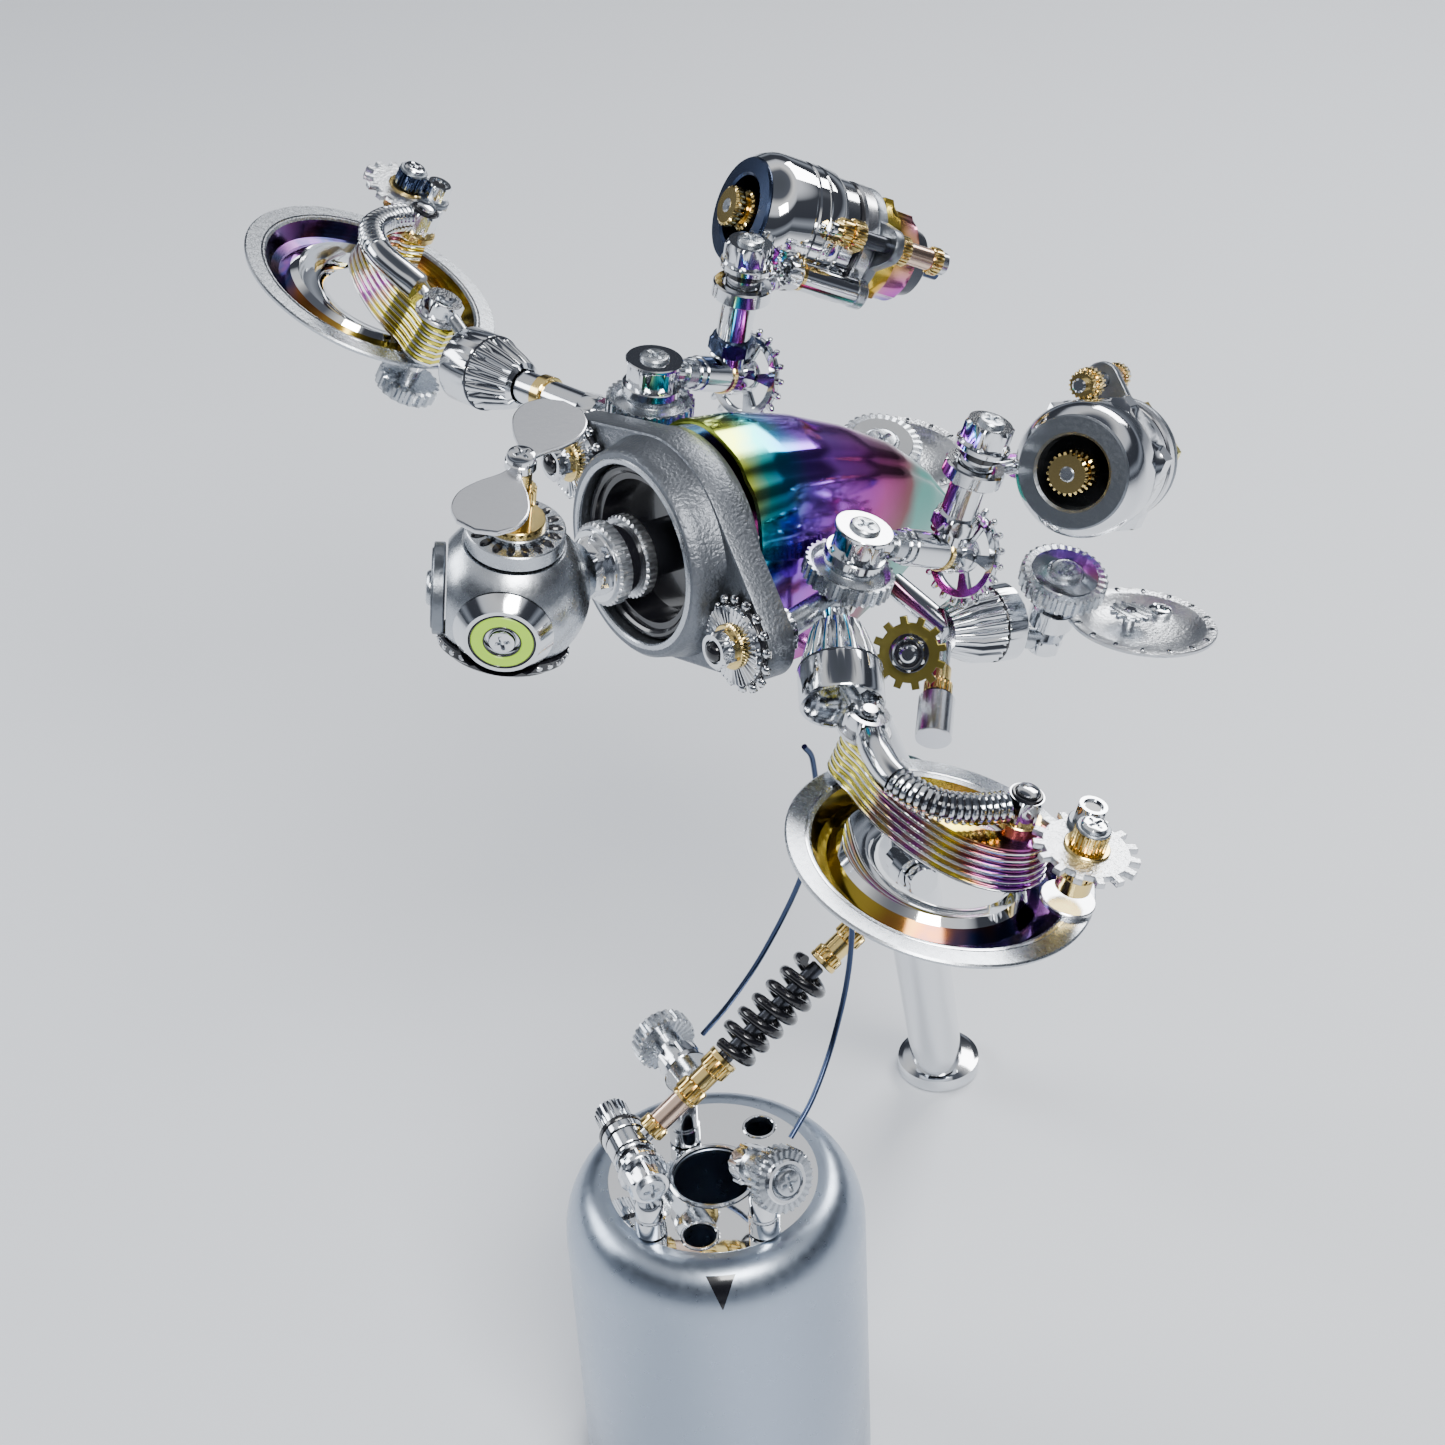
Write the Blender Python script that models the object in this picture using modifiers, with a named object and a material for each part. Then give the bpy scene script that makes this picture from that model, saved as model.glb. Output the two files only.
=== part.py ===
"""Model flying craft of polished hardware on a canister stand.

All dimensions are in millimetres and become metres (MM) when a mesh is made.
World frame: origin at the centre of the canister's bottom face, +Z up, the craft's nose
towards -Y and the craft's left side (the "near" side in the names) towards +X.
"""

import math

import bmesh
import bpy
from mathutils import Matrix, Vector

MM = 0.001
GAP = 0.3            # clearance between neighbouring pieces
PIECES = "steampunk_flying_craft"

# stand
CAN_RADIUS = 30.0
CAN_HEIGHT = 80.0
CAN_WALL = 1.2
CAN_PLATEAU = 22.0
CAN_SHOULDER = 13.0
CAN_MOUTH = 7.8
CAN_HOLES = (((11.5, -11.7), 3.2), ((-5.2, 15.5), 2.8))
POST_RADIUS = 3.1
POST_LEFT = (4.6, -18.3)
POST_RIGHT = (18.4, -1.2)
POST_REAR = (-11.7, 1.8)
LEFT_BOLT_START = (-16.6, -12.4, 93.5)
LEFT_BOLT_END = (6.1, -18.7, 93.5)
RIGHT_KNOB_AXIS = (0.93, -0.02, 0.36)
RIGHT_KNOB_AT = (23.0, -1.2, 98.0)
REAR_KNOB_AXIS = (-0.98, 0.18, 0.0)
REAR_KNOB_AT = (-8.5, 1.5, 100.5)
SUPPORT_FOOT = (-63.0, 112.0, 0.0)
SUPPORT_TOP = (-12.0, 58.0, 140.0)
SUPPORT_RADIUS = 6.2
SUPPORT_BORE = 4.8
STRUT_FOOT = (-4.6, -15.7, 93.5)
STRUT_HEAD = (5.0, 48.0, 135.0)
WIRE_RADIUS = 0.55

# craft body
NOSE = (0.0, -0.992, 0.124)
BODY_ROLL = 16.0     # degrees, near side low
FLANGE_CENTRE = (-22.6, 15.5, 210.2)
BOLT_SPACING = 53.0
HOUSING_RADIUS = 21.0
EAR_RADIUS = 7.5
EAR_SEAT_RADIUS = 9.2   # spot face in the boss around each ear bolt
PLATE_THICKNESS = 6.0
BORE_RADIUS = 16.4
BOSS_FRONT = 9.0
HEAD_AHEAD = 34.5    # ball centre in front of the flange plate's middle
HEAD_RADIUS = 13.8
# outward axis of each disc on the ball and how deep its seat is cut
HEAD_TOP = ((0.18, 0.06, 0.98), 3.4)
HEAD_EYE = ((0.74, -0.62, -0.10), 3.0)
HEAD_SIDE = ((-0.55, -0.82, 0.12), 3.0)
HEAD_CHIN = ((0.02, -0.28, -0.96), 5.6)
PROPELLER_ANGLE = -55.0

# arms
THRUSTER_RADIUS = 12.3
DISH_RADIUS = 27.0
DISH_RIM = 4.6
HINGE_X = 23.6
GEAR_AT = (-18.6, -12.3)
REAR_DISH_RADIUS = 14.2


def frame(origin, z_axis, x_hint=(1.0, 0.0, 0.0)):
    """Matrix of a local frame: origin in millimetres, z along z_axis, x nearest x_hint."""
    z = Vector(z_axis).normalized()
    x = Vector(x_hint)
    x = (x - x.dot(z) * z).normalized()
    matrix = Matrix((x, z.cross(x), z)).transposed().to_4x4()
    matrix.translation = Vector(origin) * MM
    return matrix


def shifted(matrix, x=0.0, y=0.0, z=0.0):
    return matrix @ Matrix.Translation(Vector((x, y, z)) * MM)


def along(start, end):
    """Frame at start with z towards end, and the distance in millimetres."""
    span = Vector(end) - Vector(start)
    return frame(start, span, (0.0, 0.0, 1.0)), span.length


# ---------------------------------------------------------------- materials

def material(name, colour, roughness, metallic=1.0):
    made = bpy.data.materials.get(name)
    if made is None:
        made = bpy.data.materials.new(name)
        made.use_nodes = True
        shader = made.node_tree.nodes["Principled BSDF"]
        shader.inputs["Base Color"].default_value = (*colour, 1.0)
        shader.inputs["Roughness"].default_value = roughness
        shader.inputs["Metallic"].default_value = metallic
    return made


def finish(kind):
    table = {
        "chrome": ((0.78, 0.79, 0.81), 0.10, 1.0),
        "satin_steel": ((0.62, 0.65, 0.68), 0.32, 1.0),
        "cast_grey": ((0.20, 0.21, 0.23), 0.55, 1.0),
        "brass": ((0.78, 0.58, 0.22), 0.22, 1.0),
        "gunmetal": ((0.07, 0.08, 0.10), 0.28, 1.0),
        "rainbow_titanium": ((0.45, 0.18, 0.62), 0.18, 1.0),
        "black_gloss": ((0.02, 0.02, 0.025), 0.15, 0.0),
        "lime_enamel": ((0.55, 0.85, 0.08), 0.35, 0.0),
    }
    colour, roughness, metallic = table[kind]
    return material(kind, colour, roughness, metallic)


# ---------------------------------------------------------------- making shapes

def collection(name):
    made = bpy.data.collections.get(name)
    if made is None:
        made = bpy.data.collections.new(name)
        bpy.context.scene.collection.children.link(made)
    return made


def add_object(name, data, at, kind=None, pivot=None):
    """Link an object at a world matrix; kind None makes it a hidden cutter."""
    obj = bpy.data.objects.new(name, data)
    collection(PIECES if kind else "cutters").objects.link(obj)
    if kind:
        data.materials.append(finish(kind))
    else:
        obj.hide_render = True
        obj.display_type = "WIRE"
    if pivot:
        obj.parent = pivot
        obj.matrix_basis = pivot.matrix_basis.inverted() @ at
    else:
        obj.matrix_basis = at
    return obj


def pivot_empty(name, at):
    """Empty on a joint's axis, which is the empty's own Z."""
    empty = bpy.data.objects.new(name, None)
    empty.empty_display_size = 0.01
    collection(PIECES).objects.link(empty)
    empty.matrix_basis = at
    return empty


def turned(name, profile, at, kind=None, pivot=None, segments=10, ring=False):
    """Solid of revolution about z from (radius, z) points, outer side top to bottom."""
    mesh = bpy.data.meshes.new(name)
    points = [(radius * MM, 0.0, z * MM) for radius, z in profile]
    edges = [(i, i + 1) for i in range(len(points) - 1)]
    if ring:
        edges.append((len(points) - 1, 0))
    mesh.from_pydata(points, edges, [])
    obj = add_object(name, mesh, at, kind, pivot)
    screw = obj.modifiers.new("turn", "SCREW")
    screw.steps = segments
    screw.render_steps = segments
    screw.use_merge_vertices = True
    screw.merge_threshold = 0.00001
    return obj


def stacked(sections):
    """Profile from (radius, z_low, z_high) sections, listed from the top down."""
    profile = [(0.0, sections[0][2])]
    for radius, low, high in sections:
        profile.append((radius, high))
        profile.append((radius, low))
    profile.append((0.0, sections[-1][1]))
    return profile


def ring_profile(inner, outer, low, high):
    return [(outer, high), (outer, low), (inner, low), (inner, high)]


def plate(name, outline, thickness, at, kind=None, pivot=None, holes=()):
    """Flat solid centred on z = 0 from a closed outline and inner outlines."""
    curve = bpy.data.curves.new(name, "CURVE")
    curve.dimensions = "2D"
    curve.fill_mode = "BOTH"
    curve.extrude = thickness * MM / 2
    for points in (outline, *holes):
        spline = curve.splines.new("POLY")
        spline.points.add(len(points) - 1)
        for point, (x, y) in zip(spline.points, points):
            point.co = (x * MM, y * MM, 0.0, 1.0)
        spline.use_cyclic_u = True
    return add_object(name, curve, at, kind, pivot)


def tube(name, points, radius, kind=None, pivot=None, at=Matrix(), resolution=2):
    """Round bar along points in millimetres, in the frame at."""
    curve = bpy.data.curves.new(name, "CURVE")
    curve.dimensions = "3D"
    curve.bevel_depth = radius * MM
    curve.bevel_resolution = resolution
    curve.use_fill_caps = True
    spline = curve.splines.new("POLY")
    spline.points.add(len(points) - 1)
    for point, place in zip(spline.points, points):
        point.co = (*(Vector(place) * MM), 1.0)
    return add_object(name, curve, at, kind, pivot)


def as_mesh(obj):
    """Replace a curve object by a welded mesh object, so that it can take Booleans."""
    evaluated = obj.evaluated_get(bpy.context.evaluated_depsgraph_get())
    mesh = bpy.data.meshes.new_from_object(evaluated)
    shape = bmesh.new()
    shape.from_mesh(mesh)
    bmesh.ops.remove_doubles(shape, verts=shape.verts, dist=0.000005)
    bmesh.ops.recalc_face_normals(shape, faces=shape.faces)
    shape.to_mesh(mesh)
    shape.free()
    made = bpy.data.objects.new(obj.name + "_mesh", mesh)
    for holder in obj.users_collection:
        holder.objects.link(made)
    made.hide_render = obj.hide_render
    made.display_type = obj.display_type
    made.parent = obj.parent
    made.matrix_basis = obj.matrix_basis
    name = obj.name
    bpy.data.objects.remove(obj)
    made.name = name
    return made


def combine(obj, other, operation="UNION"):
    """Boolean with a cutter object."""
    step = obj.modifiers.new(operation.lower(), "BOOLEAN")
    step.operation = operation
    step.object = other
    return obj


def circle(radius, count=24, centre=(0.0, 0.0)):
    turn = 2 * math.pi / count
    return [(centre[0] + radius * math.cos(i * turn), centre[1] + radius * math.sin(i * turn))
            for i in range(count)]


def arc_points(centre, radius, start, end, count):
    """Points on an arc, angles in degrees."""
    angles = [math.radians(start + (end - start) * i / (count - 1)) for i in range(count)]
    return [(centre[0] + radius * math.cos(a), centre[1] + radius * math.sin(a)) for a in angles]


def gear_outline(root, tip, teeth):
    """Toothed outline: four points a tooth."""
    points = []
    for tooth in range(teeth):
        for share, radius in ((0.0, root), (0.28, tip), (0.55, tip), (0.83, root)):
            angle = 2 * math.pi * (tooth + share) / teeth
            points.append((radius * math.cos(angle), radius * math.sin(angle)))
    return points


def smooth_path(points, steps):
    """Catmull-Rom curve through points."""
    places = [Vector(p) for p in points]
    places = [2 * places[0] - places[1], *places, 2 * places[-1] - places[-2]]
    path = []
    for a, b, c, d in zip(places, places[1:], places[2:], places[3:]):
        for i in range(steps):
            t = i / steps
            path.append(0.5 * (2 * b + (c - a) * t + (2 * a - 5 * b + 4 * c - d) * t * t
                               + (3 * b - a - 3 * c + d) * t ** 3))
    path.append(places[-2])
    return path


# ---------------------------------------------------------------- stand

def make_canister():
    """Hollow canister: up its inside, over the mouth and down its outside."""
    width = CAN_RADIUS - CAN_PLATEAU
    base = CAN_HEIGHT - CAN_SHOULDER
    angles = [math.radians(18 * i) for i in range(1, 6)]
    profile = [(0.0, CAN_WALL), (CAN_RADIUS - CAN_WALL, CAN_WALL)]
    profile += [(CAN_PLATEAU + (width - CAN_WALL) * math.sin(a),
                 base + (CAN_SHOULDER - CAN_WALL) * math.cos(a)) for a in reversed(angles)]
    profile += [(CAN_PLATEAU, CAN_HEIGHT - CAN_WALL), (CAN_MOUTH, CAN_HEIGHT - CAN_WALL),
                (CAN_MOUTH, CAN_HEIGHT), (CAN_PLATEAU, CAN_HEIGHT)]
    profile += [(CAN_PLATEAU + width * math.sin(a), base + CAN_SHOULDER * math.cos(a)) for a in angles]
    profile += [(CAN_RADIUS, 0.0), (0.0, 0.0)]
    can = turned("base_canister", profile, Matrix(), "satin_steel", segments=24)
    for index, ((x, y), radius) in enumerate(CAN_HOLES):
        drill = turned(f"can_drill_{index}", stacked([(radius, 70.0, 90.0)]), frame((x, y, 0), (0, 0, 1)))
        combine(can, drill, "DIFFERENCE")


def make_posts():
    low = CAN_HEIGHT + GAP
    for name, (x, y), top in (("post_left", POST_LEFT, 88.5), ("post_right", POST_RIGHT, 90.5),
                              ("post_rear", POST_REAR, 95.2)):
        at = frame((x, y, 0.0), (0, 0, 1))
        ring = low + 4.2
        profile = [(0.0, top), (2.5, top), (POST_RADIUS - 0.3, top - 0.8), (POST_RADIUS - 0.3, ring + 0.5),
                   (POST_RADIUS, ring), (POST_RADIUS, low), (0.0, low)]
        turned(name, profile, at, "chrome")


def make_base_bolts():
    at, _ = along(LEFT_BOLT_START, LEFT_BOLT_END)
    turned("left_anchor_bolt", stacked([
        (2.6, 24.0, 25.0), (4.0, 19.6, 24.0), (4.7, 18.6, 19.6), (3.4, 15.4, 18.6), (4.3, 14.8, 15.4),
        (1.7, 10.1, 14.8), (4.4, 7.0, 10.1), (3.4, 1.5, 7.0), (2.2, 0.0, 1.5)]), at, "chrome")
    turned("right_clamp_knob", stacked([
        (2.6, 3.6, 4.6), (6.4, 0.6, 3.6), (4.6, -2.6, 0.6), (3.4, -8.0, -2.6), (4.2, -11.0, -8.0),
        (1.8, -13.5, -11.0)]), frame(RIGHT_KNOB_AT, RIGHT_KNOB_AXIS, (0, 0, 1)), "satin_steel")
    turned("rear_clamp_knob", stacked([
        (2.4, 13.2, 14.4), (6.2, 9.6, 13.2), (3.4, 5.6, 9.6), (4.4, 1.4, 5.6), (4.9, 0.2, 1.4),
        (2.4, -3.5, 0.2)]), frame(REAR_KNOB_AT, REAR_KNOB_AXIS, (0, 0, 1)), "satin_steel")


def make_strut():
    """Spring strut between the left anchor bolt and the clamp on the support tube."""
    at, length = along(STRUT_FOOT, STRUT_HEAD)
    bolt_axis = Vector(LEFT_BOLT_END) - Vector(LEFT_BOLT_START)
    lower = turned("strut_lower_rod", stacked([
        (1.5, 25.5, 51.0), (3.1, 21.5, 25.5), (2.3, 18.0, 21.5), (2.9, 14.5, 18.0), (2.2, 5.4, 14.5),
        (1.4, 2.6, 5.4)]),
        at, "brass")
    eye = turned("strut_lower_eye", ring_profile(2.1, 4.2, -2.0, 2.0), frame(STRUT_FOOT, bolt_axis),
                 ring=True)
    combine(lower, eye)
    upper = turned("strut_upper_rod", stacked([
        (1.4, length - 5.4, length - 2.6), (2.2, 61.0, length - 5.4), (2.9, 58.0, 61.0), (2.3, 54.5, 58.0), (2.9, 51.5, 54.5)]),
        at, "brass")
    head_eye = turned("strut_upper_eye", ring_profile(2.1, 4.2, -2.0, 2.0),
                      frame(STRUT_HEAD, clamp_pin_axis()), ring=True)
    combine(upper, head_eye)
    turns, low, high, radius = 6, 27.2, 49.8, 3.9
    count = turns * 8
    points = [(radius * math.cos(2 * math.pi * turns * i / count),
               radius * math.sin(2 * math.pi * turns * i / count),
               low + (high - low) * i / count) for i in range(count + 1)]
    tube("strut_spring", points, 1.15, "gunmetal", at=at, resolution=1)


def clamp_centre():
    """Point on the support tube's axis where the strut's clamp sits."""
    foot = Vector(SUPPORT_FOOT)
    span = Vector(SUPPORT_TOP) - foot
    return foot + span.normalized() * (span.length - 5.0)


def clamp_pin_axis():
    """Direction square to the strut, as nearly as possible towards the clamp."""
    strut = (Vector(STRUT_HEAD) - Vector(STRUT_FOOT)).normalized()
    reach = clamp_centre() - Vector(STRUT_HEAD)
    return (reach - reach.dot(strut) * strut).normalized()


def make_support():
    """Support tube with its foot, the strut's clamp and the hanger up to the keel."""
    at, length = along(SUPPORT_FOOT, SUPPORT_TOP)
    turned("support_tube", ring_profile(SUPPORT_BORE, SUPPORT_RADIUS, 8.6, length), at, "chrome",
           segments=16, ring=True)
    foot = turned("support_foot", stacked([(9.0, 3.4, 4.0), (10.0, 0.0, 3.4)]),
                  frame(SUPPORT_FOOT, (0, 0, 1)), "chrome", segments=20)
    combine(foot, turned("foot_stub", stacked([(4.3, 3.0, 20.0)]), at))
    centre = clamp_centre()
    clamp = turned("strut_clamp", ring_profile(SUPPORT_RADIUS + GAP, 9.0, -4.0, 4.0),
                   frame(centre, Vector(SUPPORT_TOP) - Vector(SUPPORT_FOOT)), "chrome",
                   segments=16, ring=True)
    pin_axis = clamp_pin_axis()
    head = Vector(STRUT_HEAD)
    combine(clamp, turned("clamp_pin", stacked([
        (3.0, 2.4, 7.4), (1.7, -2.4, 2.4), (3.2, -4.8, -2.4)]), frame(head, pin_axis, (0, 0, 1))))
    arm_at, reach = along(head + 5.2 * pin_axis, centre)
    combine(clamp, turned("clamp_arm", stacked([(2.6, 0.0, reach - 7.6)]), arm_at))
    top = Vector(SUPPORT_TOP)
    up = (top - Vector(SUPPORT_FOOT)).normalized()
    keel = shifted(body_frame(), 0.0, -22.2, -34.0)
    keel_point = keel.translation / MM
    below = shifted(keel, 0.0, -6.0).translation / MM
    route = smooth_path([top + 0.4 * up, top + 6.0 * up, (top + 18.0 * up + keel_point) / 2,
                         below, keel_point], 3)
    tube("belly_hanger", route, 4.2, "chrome", resolution=2)


def make_wires():
    """Two sprung steel wires from the rear and right knobs up to the belly."""
    tube("stay_wire_rear", smooth_path([
        (-14.0, 9.2, 102.5), (-11.5, 15.0, 110.0), (-7.9, 21.0, 121.8), (-3.6, 26.9, 138.8),
        (0.0, 28.6, 155.0), (2.2, 26.6, 170.0), (2.7, 24.3, 175.0)], 3), WIRE_RADIUS, "gunmetal",
        resolution=1)
    tube("stay_wire_right", smooth_path([
        (19.4, 5.2, 101.5), (17.4, 12.5, 106.5), (13.9, 20.7, 115.0), (11.9, 26.4, 129.2),
        (9.0, 30.0, 150.0), (4.5, 33.0, 172.0)], 3), WIRE_RADIUS, "gunmetal",
        resolution=1)


# ---------------------------------------------------------------- craft body

def body_frame():
    """Flange frame: z to the nose, x to the near side, y up."""
    roll = math.radians(BODY_ROLL)
    return frame(FLANGE_CENTRE, NOSE, (math.cos(roll), 0.0, -math.sin(roll)))


def flange_outline(radius=HOUSING_RADIUS, ear=EAR_RADIUS, half=BOLT_SPACING / 2):
    """Rhombic two-bolt outline: centre circle and ear circles joined by their tangents."""
    lean = math.degrees(math.acos((radius - ear) / half))
    points = arc_points((half, 0.0), ear, -lean, lean, 7)
    points += arc_points((0.0, 0.0), radius, lean, 180 - lean, 8)
    points += arc_points((-half, 0.0), ear, 180 - lean, 180 + lean, 7)
    points += arc_points((0.0, 0.0), radius, 180 + lean, 360 - lean, 8)
    return points


def make_housing(body):
    housing = as_mesh(plate("flange_housing", flange_outline(), PLATE_THICKNESS, body, "cast_grey",
                            holes=[circle(BORE_RADIUS, 24)]))
    boss = turned("boss_ring", ring_profile(BORE_RADIUS, 20.4, -4.6, BOSS_FRONT), body, segments=24,
                  ring=True)
    combine(housing, boss)
    for side in (1, -1):
        seat = shifted(body, side * BOLT_SPACING / 2, 0.0, PLATE_THICKNESS / 2)
        combine(housing, turned(f"ear_seat_{side}", stacked([(EAR_SEAT_RADIUS, 0.0, 12.0)]), seat,
                                segments=16), "DIFFERENCE")
    turned("bore_neck", [
        (0.0, 19.9), (5.2, 19.9), (5.2, 17.0), (7.6, 16.4), (7.6, 13.6), (6.2, 13.0), (6.2, 11.4),
        (7.6, 10.8), (7.6, 8.4), (5.0, 7.8), (5.0, 0.6), (13.0, 0.6), (13.4, 6.2), (16.0, 6.2),
        (16.0, -4.4), (0.0, -4.4)], body, "black_gloss", segments=16)


def make_hood(body):
    """Bent shell behind the flange: arched sections, open below and in front."""
    # distance behind the plate, half width, crown height, lower edge height
    stations = ((5.6, 20.0, 22.0, -16.0), (14.0, 19.4, 21.5, -19.0), (26.0, 17.2, 18.6, -21.0),
                (38.0, 13.8, 13.8, -21.0), (50.0, 9.6, 7.4, -19.5), (60.0, 5.6, -0.5, -17.0),
                (67.0, 2.6, -8.0, -14.0))
    count = 12
    mesh = bpy.data.meshes.new("tail_hood")
    shape = bmesh.new()
    rows = []
    for back, half, crown, edge in stations:
        row = []
        for i in range(count + 1):
            angle = math.pi * i / count
            side = math.cos(angle)
            lift = math.sin(angle)
            x = half * math.copysign(abs(side) ** 0.75, side)
            y = edge + (crown - edge) * lift ** 0.8
            row.append(shape.verts.new((x * MM, y * MM, -back * MM)))
        rows.append(row)
    for front, rear in zip(rows, rows[1:]):
        for i in range(count):
            shape.faces.new((front[i], front[i + 1], rear[i + 1], rear[i]))
    bmesh.ops.recalc_face_normals(shape, faces=shape.faces)
    shape.to_mesh(mesh)
    shape.free()
    hood = add_object("tail_hood", mesh, body, "rainbow_titanium")
    wall = hood.modifiers.new("wall", "SOLIDIFY")
    wall.thickness = 1.0 * MM
    wall.offset = -1.0
    keel = [(13.0, -5.4), (-13.0, -5.4), (-9.0, -40.0), (-4.5, -52.0), (4.5, -52.0), (9.0, -40.0)]
    turn = Matrix.Rotation(math.radians(90), 4, "X")
    plate("keel_plate", keel, 2.6, shifted(body, 0.0, -19.6, 0.0) @ turn, "gunmetal")


def make_ear_sprockets(body):
    for side, name in ((1, "near"), (-1, "far")):
        at = shifted(body, side * BOLT_SPACING / 2, 0.0, PLATE_THICKNESS / 2 + GAP)
        pivot = pivot_empty(f"{name}_ear_axis", at)
        wheel = as_mesh(plate(f"{name}_ear_sprocket", gear_outline(7.7, 8.8, 14), 1.2,
                              shifted(at, z=0.6), "chrome", pivot))
        hub = turned(f"{name}_ear_hub", stacked([
            (1.6, 6.4, 7.4), (3.0, 3.0, 6.4), (4.0, 2.4, 3.0), (7.2, 0.8, 2.4)]), at, segments=12)
        combine(wheel, hub)


def make_head(body):
    """Ball head on the neck, with propeller, eye and side discs."""
    at = shifted(body, z=HEAD_AHEAD)
    pivot = pivot_empty("head_axis", shifted(body, z=20.2))
    ball = turned("head_ball", [(HEAD_RADIUS * math.sin(math.pi * i / 12), HEAD_RADIUS * math.cos(math.pi * i / 12))
                                for i in range(13)], at, "satin_steel", pivot, segments=20)
    outward = HEAD_RADIUS + 0.1
    seats = {"head_top_disc": HEAD_TOP, "head_eye_boss": HEAD_EYE, "head_side_disc": HEAD_SIDE,
             "head_studded_disc": HEAD_CHIN}
    frames = {name: frame(at.translation / MM + Vector(axis).normalized() * (outward - cut), axis)
              for name, (axis, cut) in seats.items()}
    for name, seat in frames.items():
        combine(ball, turned(name + "_seat", stacked([(12.0, 0.0, 8.0)]), seat), "DIFFERENCE")
    top = frames["head_top_disc"]
    turned("head_top_disc", stacked([
        (2.0, 12.4, 15.4), (3.0, 9.0, 12.4), (2.5, 5.4, 9.0), (5.0, 3.6, 5.4), (8.6, 0.4, 3.6)]),
        top, "satin_steel", pivot, segments=14)
    eye = frames["head_eye_boss"]
    turned("head_eye_boss", [(0.0, 3.4), (2.6, 3.4), (2.6, 2.6), (3.1, 2.4), (5.6, 2.4), (5.9, 2.9), (6.6, 2.9),
                             (8.6, 0.4), (0.0, 0.4)], eye, "chrome", pivot, segments=18)
    turned("head_eye_ring", ring_profile(3.2, 5.5, 2.6, 3.2), eye, "lime_enamel", pivot, segments=18,
           ring=True)
    turned("head_side_disc", stacked([(3.0, 2.6, 3.4), (8.0, 0.4, 2.6)]), frames["head_side_disc"],
           "cast_grey", pivot, segments=16)
    studded = turned("head_studded_disc", stacked([(9.6, 2.6, 4.2), (11.4, 0.4, 2.6)]),
                     frames["head_studded_disc"], "gunmetal", pivot, segments=20)
    for name, radius in (("head_eye_boss", 9.0), ("head_side_disc", 8.4)):
        relief = turned(name + "_relief", stacked([(radius, 0.0, 12.0)]), frames[name], segments=16)
        combine(studded, relief, "DIFFERENCE")
    spin = pivot_empty("propeller_axis", shifted(top, z=15.8))
    blades = []
    for turn in (PROPELLER_ANGLE, PROPELLER_ANGLE + 180):
        for x, y in blade_outline():
            a = math.radians(turn)
            blades.append((x * math.cos(a) - y * math.sin(a), x * math.sin(a) + y * math.cos(a)))
    propeller = as_mesh(plate("propeller", blades, 1.0, shifted(top, z=16.4), "satin_steel", spin))
    combine(propeller, turned("propeller_hub", stacked([(1.6, 2.2, 3.2), (2.6, 0.0, 2.2)]), shifted(top, z=15.8)))


def blade_outline():
    """One propeller blade towards +X, open at the hub."""
    edge = [(2.3, 1.2), (4.5, 2.2), (8.0, 4.6), (12.0, 6.2), (16.0, 5.8), (19.0, 3.6)]
    return [(x, -y) for x, y in edge] + [(20.0, 0.0)] + edge[::-1]


# ---------------------------------------------------------------- thruster arms

THRUSTER_ARMS = {
    # shoulder point, shoulder axis, elbow direction and length, riser direction and length,
    # thruster face centre and forward direction
    "near": dict(shoulder=(2.6, 35.6, 207.9), up=(0.20, 0.25, 0.95), elbow=(-0.023, 0.905, -0.425),
                 reach=28.0, riser=(0.163, 0.259, 0.952), rise=23.5,
                 face=(18.6, 73.7, 220.3), forward=(0.411, -0.829, 0.379)),
    "far": dict(shoulder=(-49.9, 31.0, 221.6), up=(0.09, 0.12, 0.99), elbow=(-0.151, 0.922, -0.357),
                reach=26.0, riser=(0.134, 0.154, 0.979), rise=24.4,
                face=(-61.5, 61.9, 247.0), forward=(-0.243, -0.845, 0.476)),
}


def make_shoulder(side, arm, body):
    """Knurled disc on a bracket from the back of the flange ear."""
    up = Vector(arm["up"]).normalized()
    seat = Vector(arm["shoulder"])
    disc = turned(f"{side}_shoulder_disc", stacked([
        (5.0, 1.2, 2.2), (8.3, -2.0, 1.2), (5.2, -2.8, -2.0), (3.4, -7.2, -2.8)]), frame(seat, up),
        "satin_steel", segments=16)
    sign = 1 if side == "near" else -1
    ear_back = shifted(body, sign * BOLT_SPACING / 2, 0.0, -PLATE_THICKNESS / 2 - GAP)
    combine(disc, turned(f"{side}_ear_washer", stacked([(5.0, -2.4, 0.0)]), ear_back))
    bracket_at, length = along(shifted(ear_back, z=-1.8).translation / MM, seat - up * 4.8)
    combine(disc, turned(f"{side}_shoulder_bracket", stacked([(2.4, 0.0, length)]), bracket_at))


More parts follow.
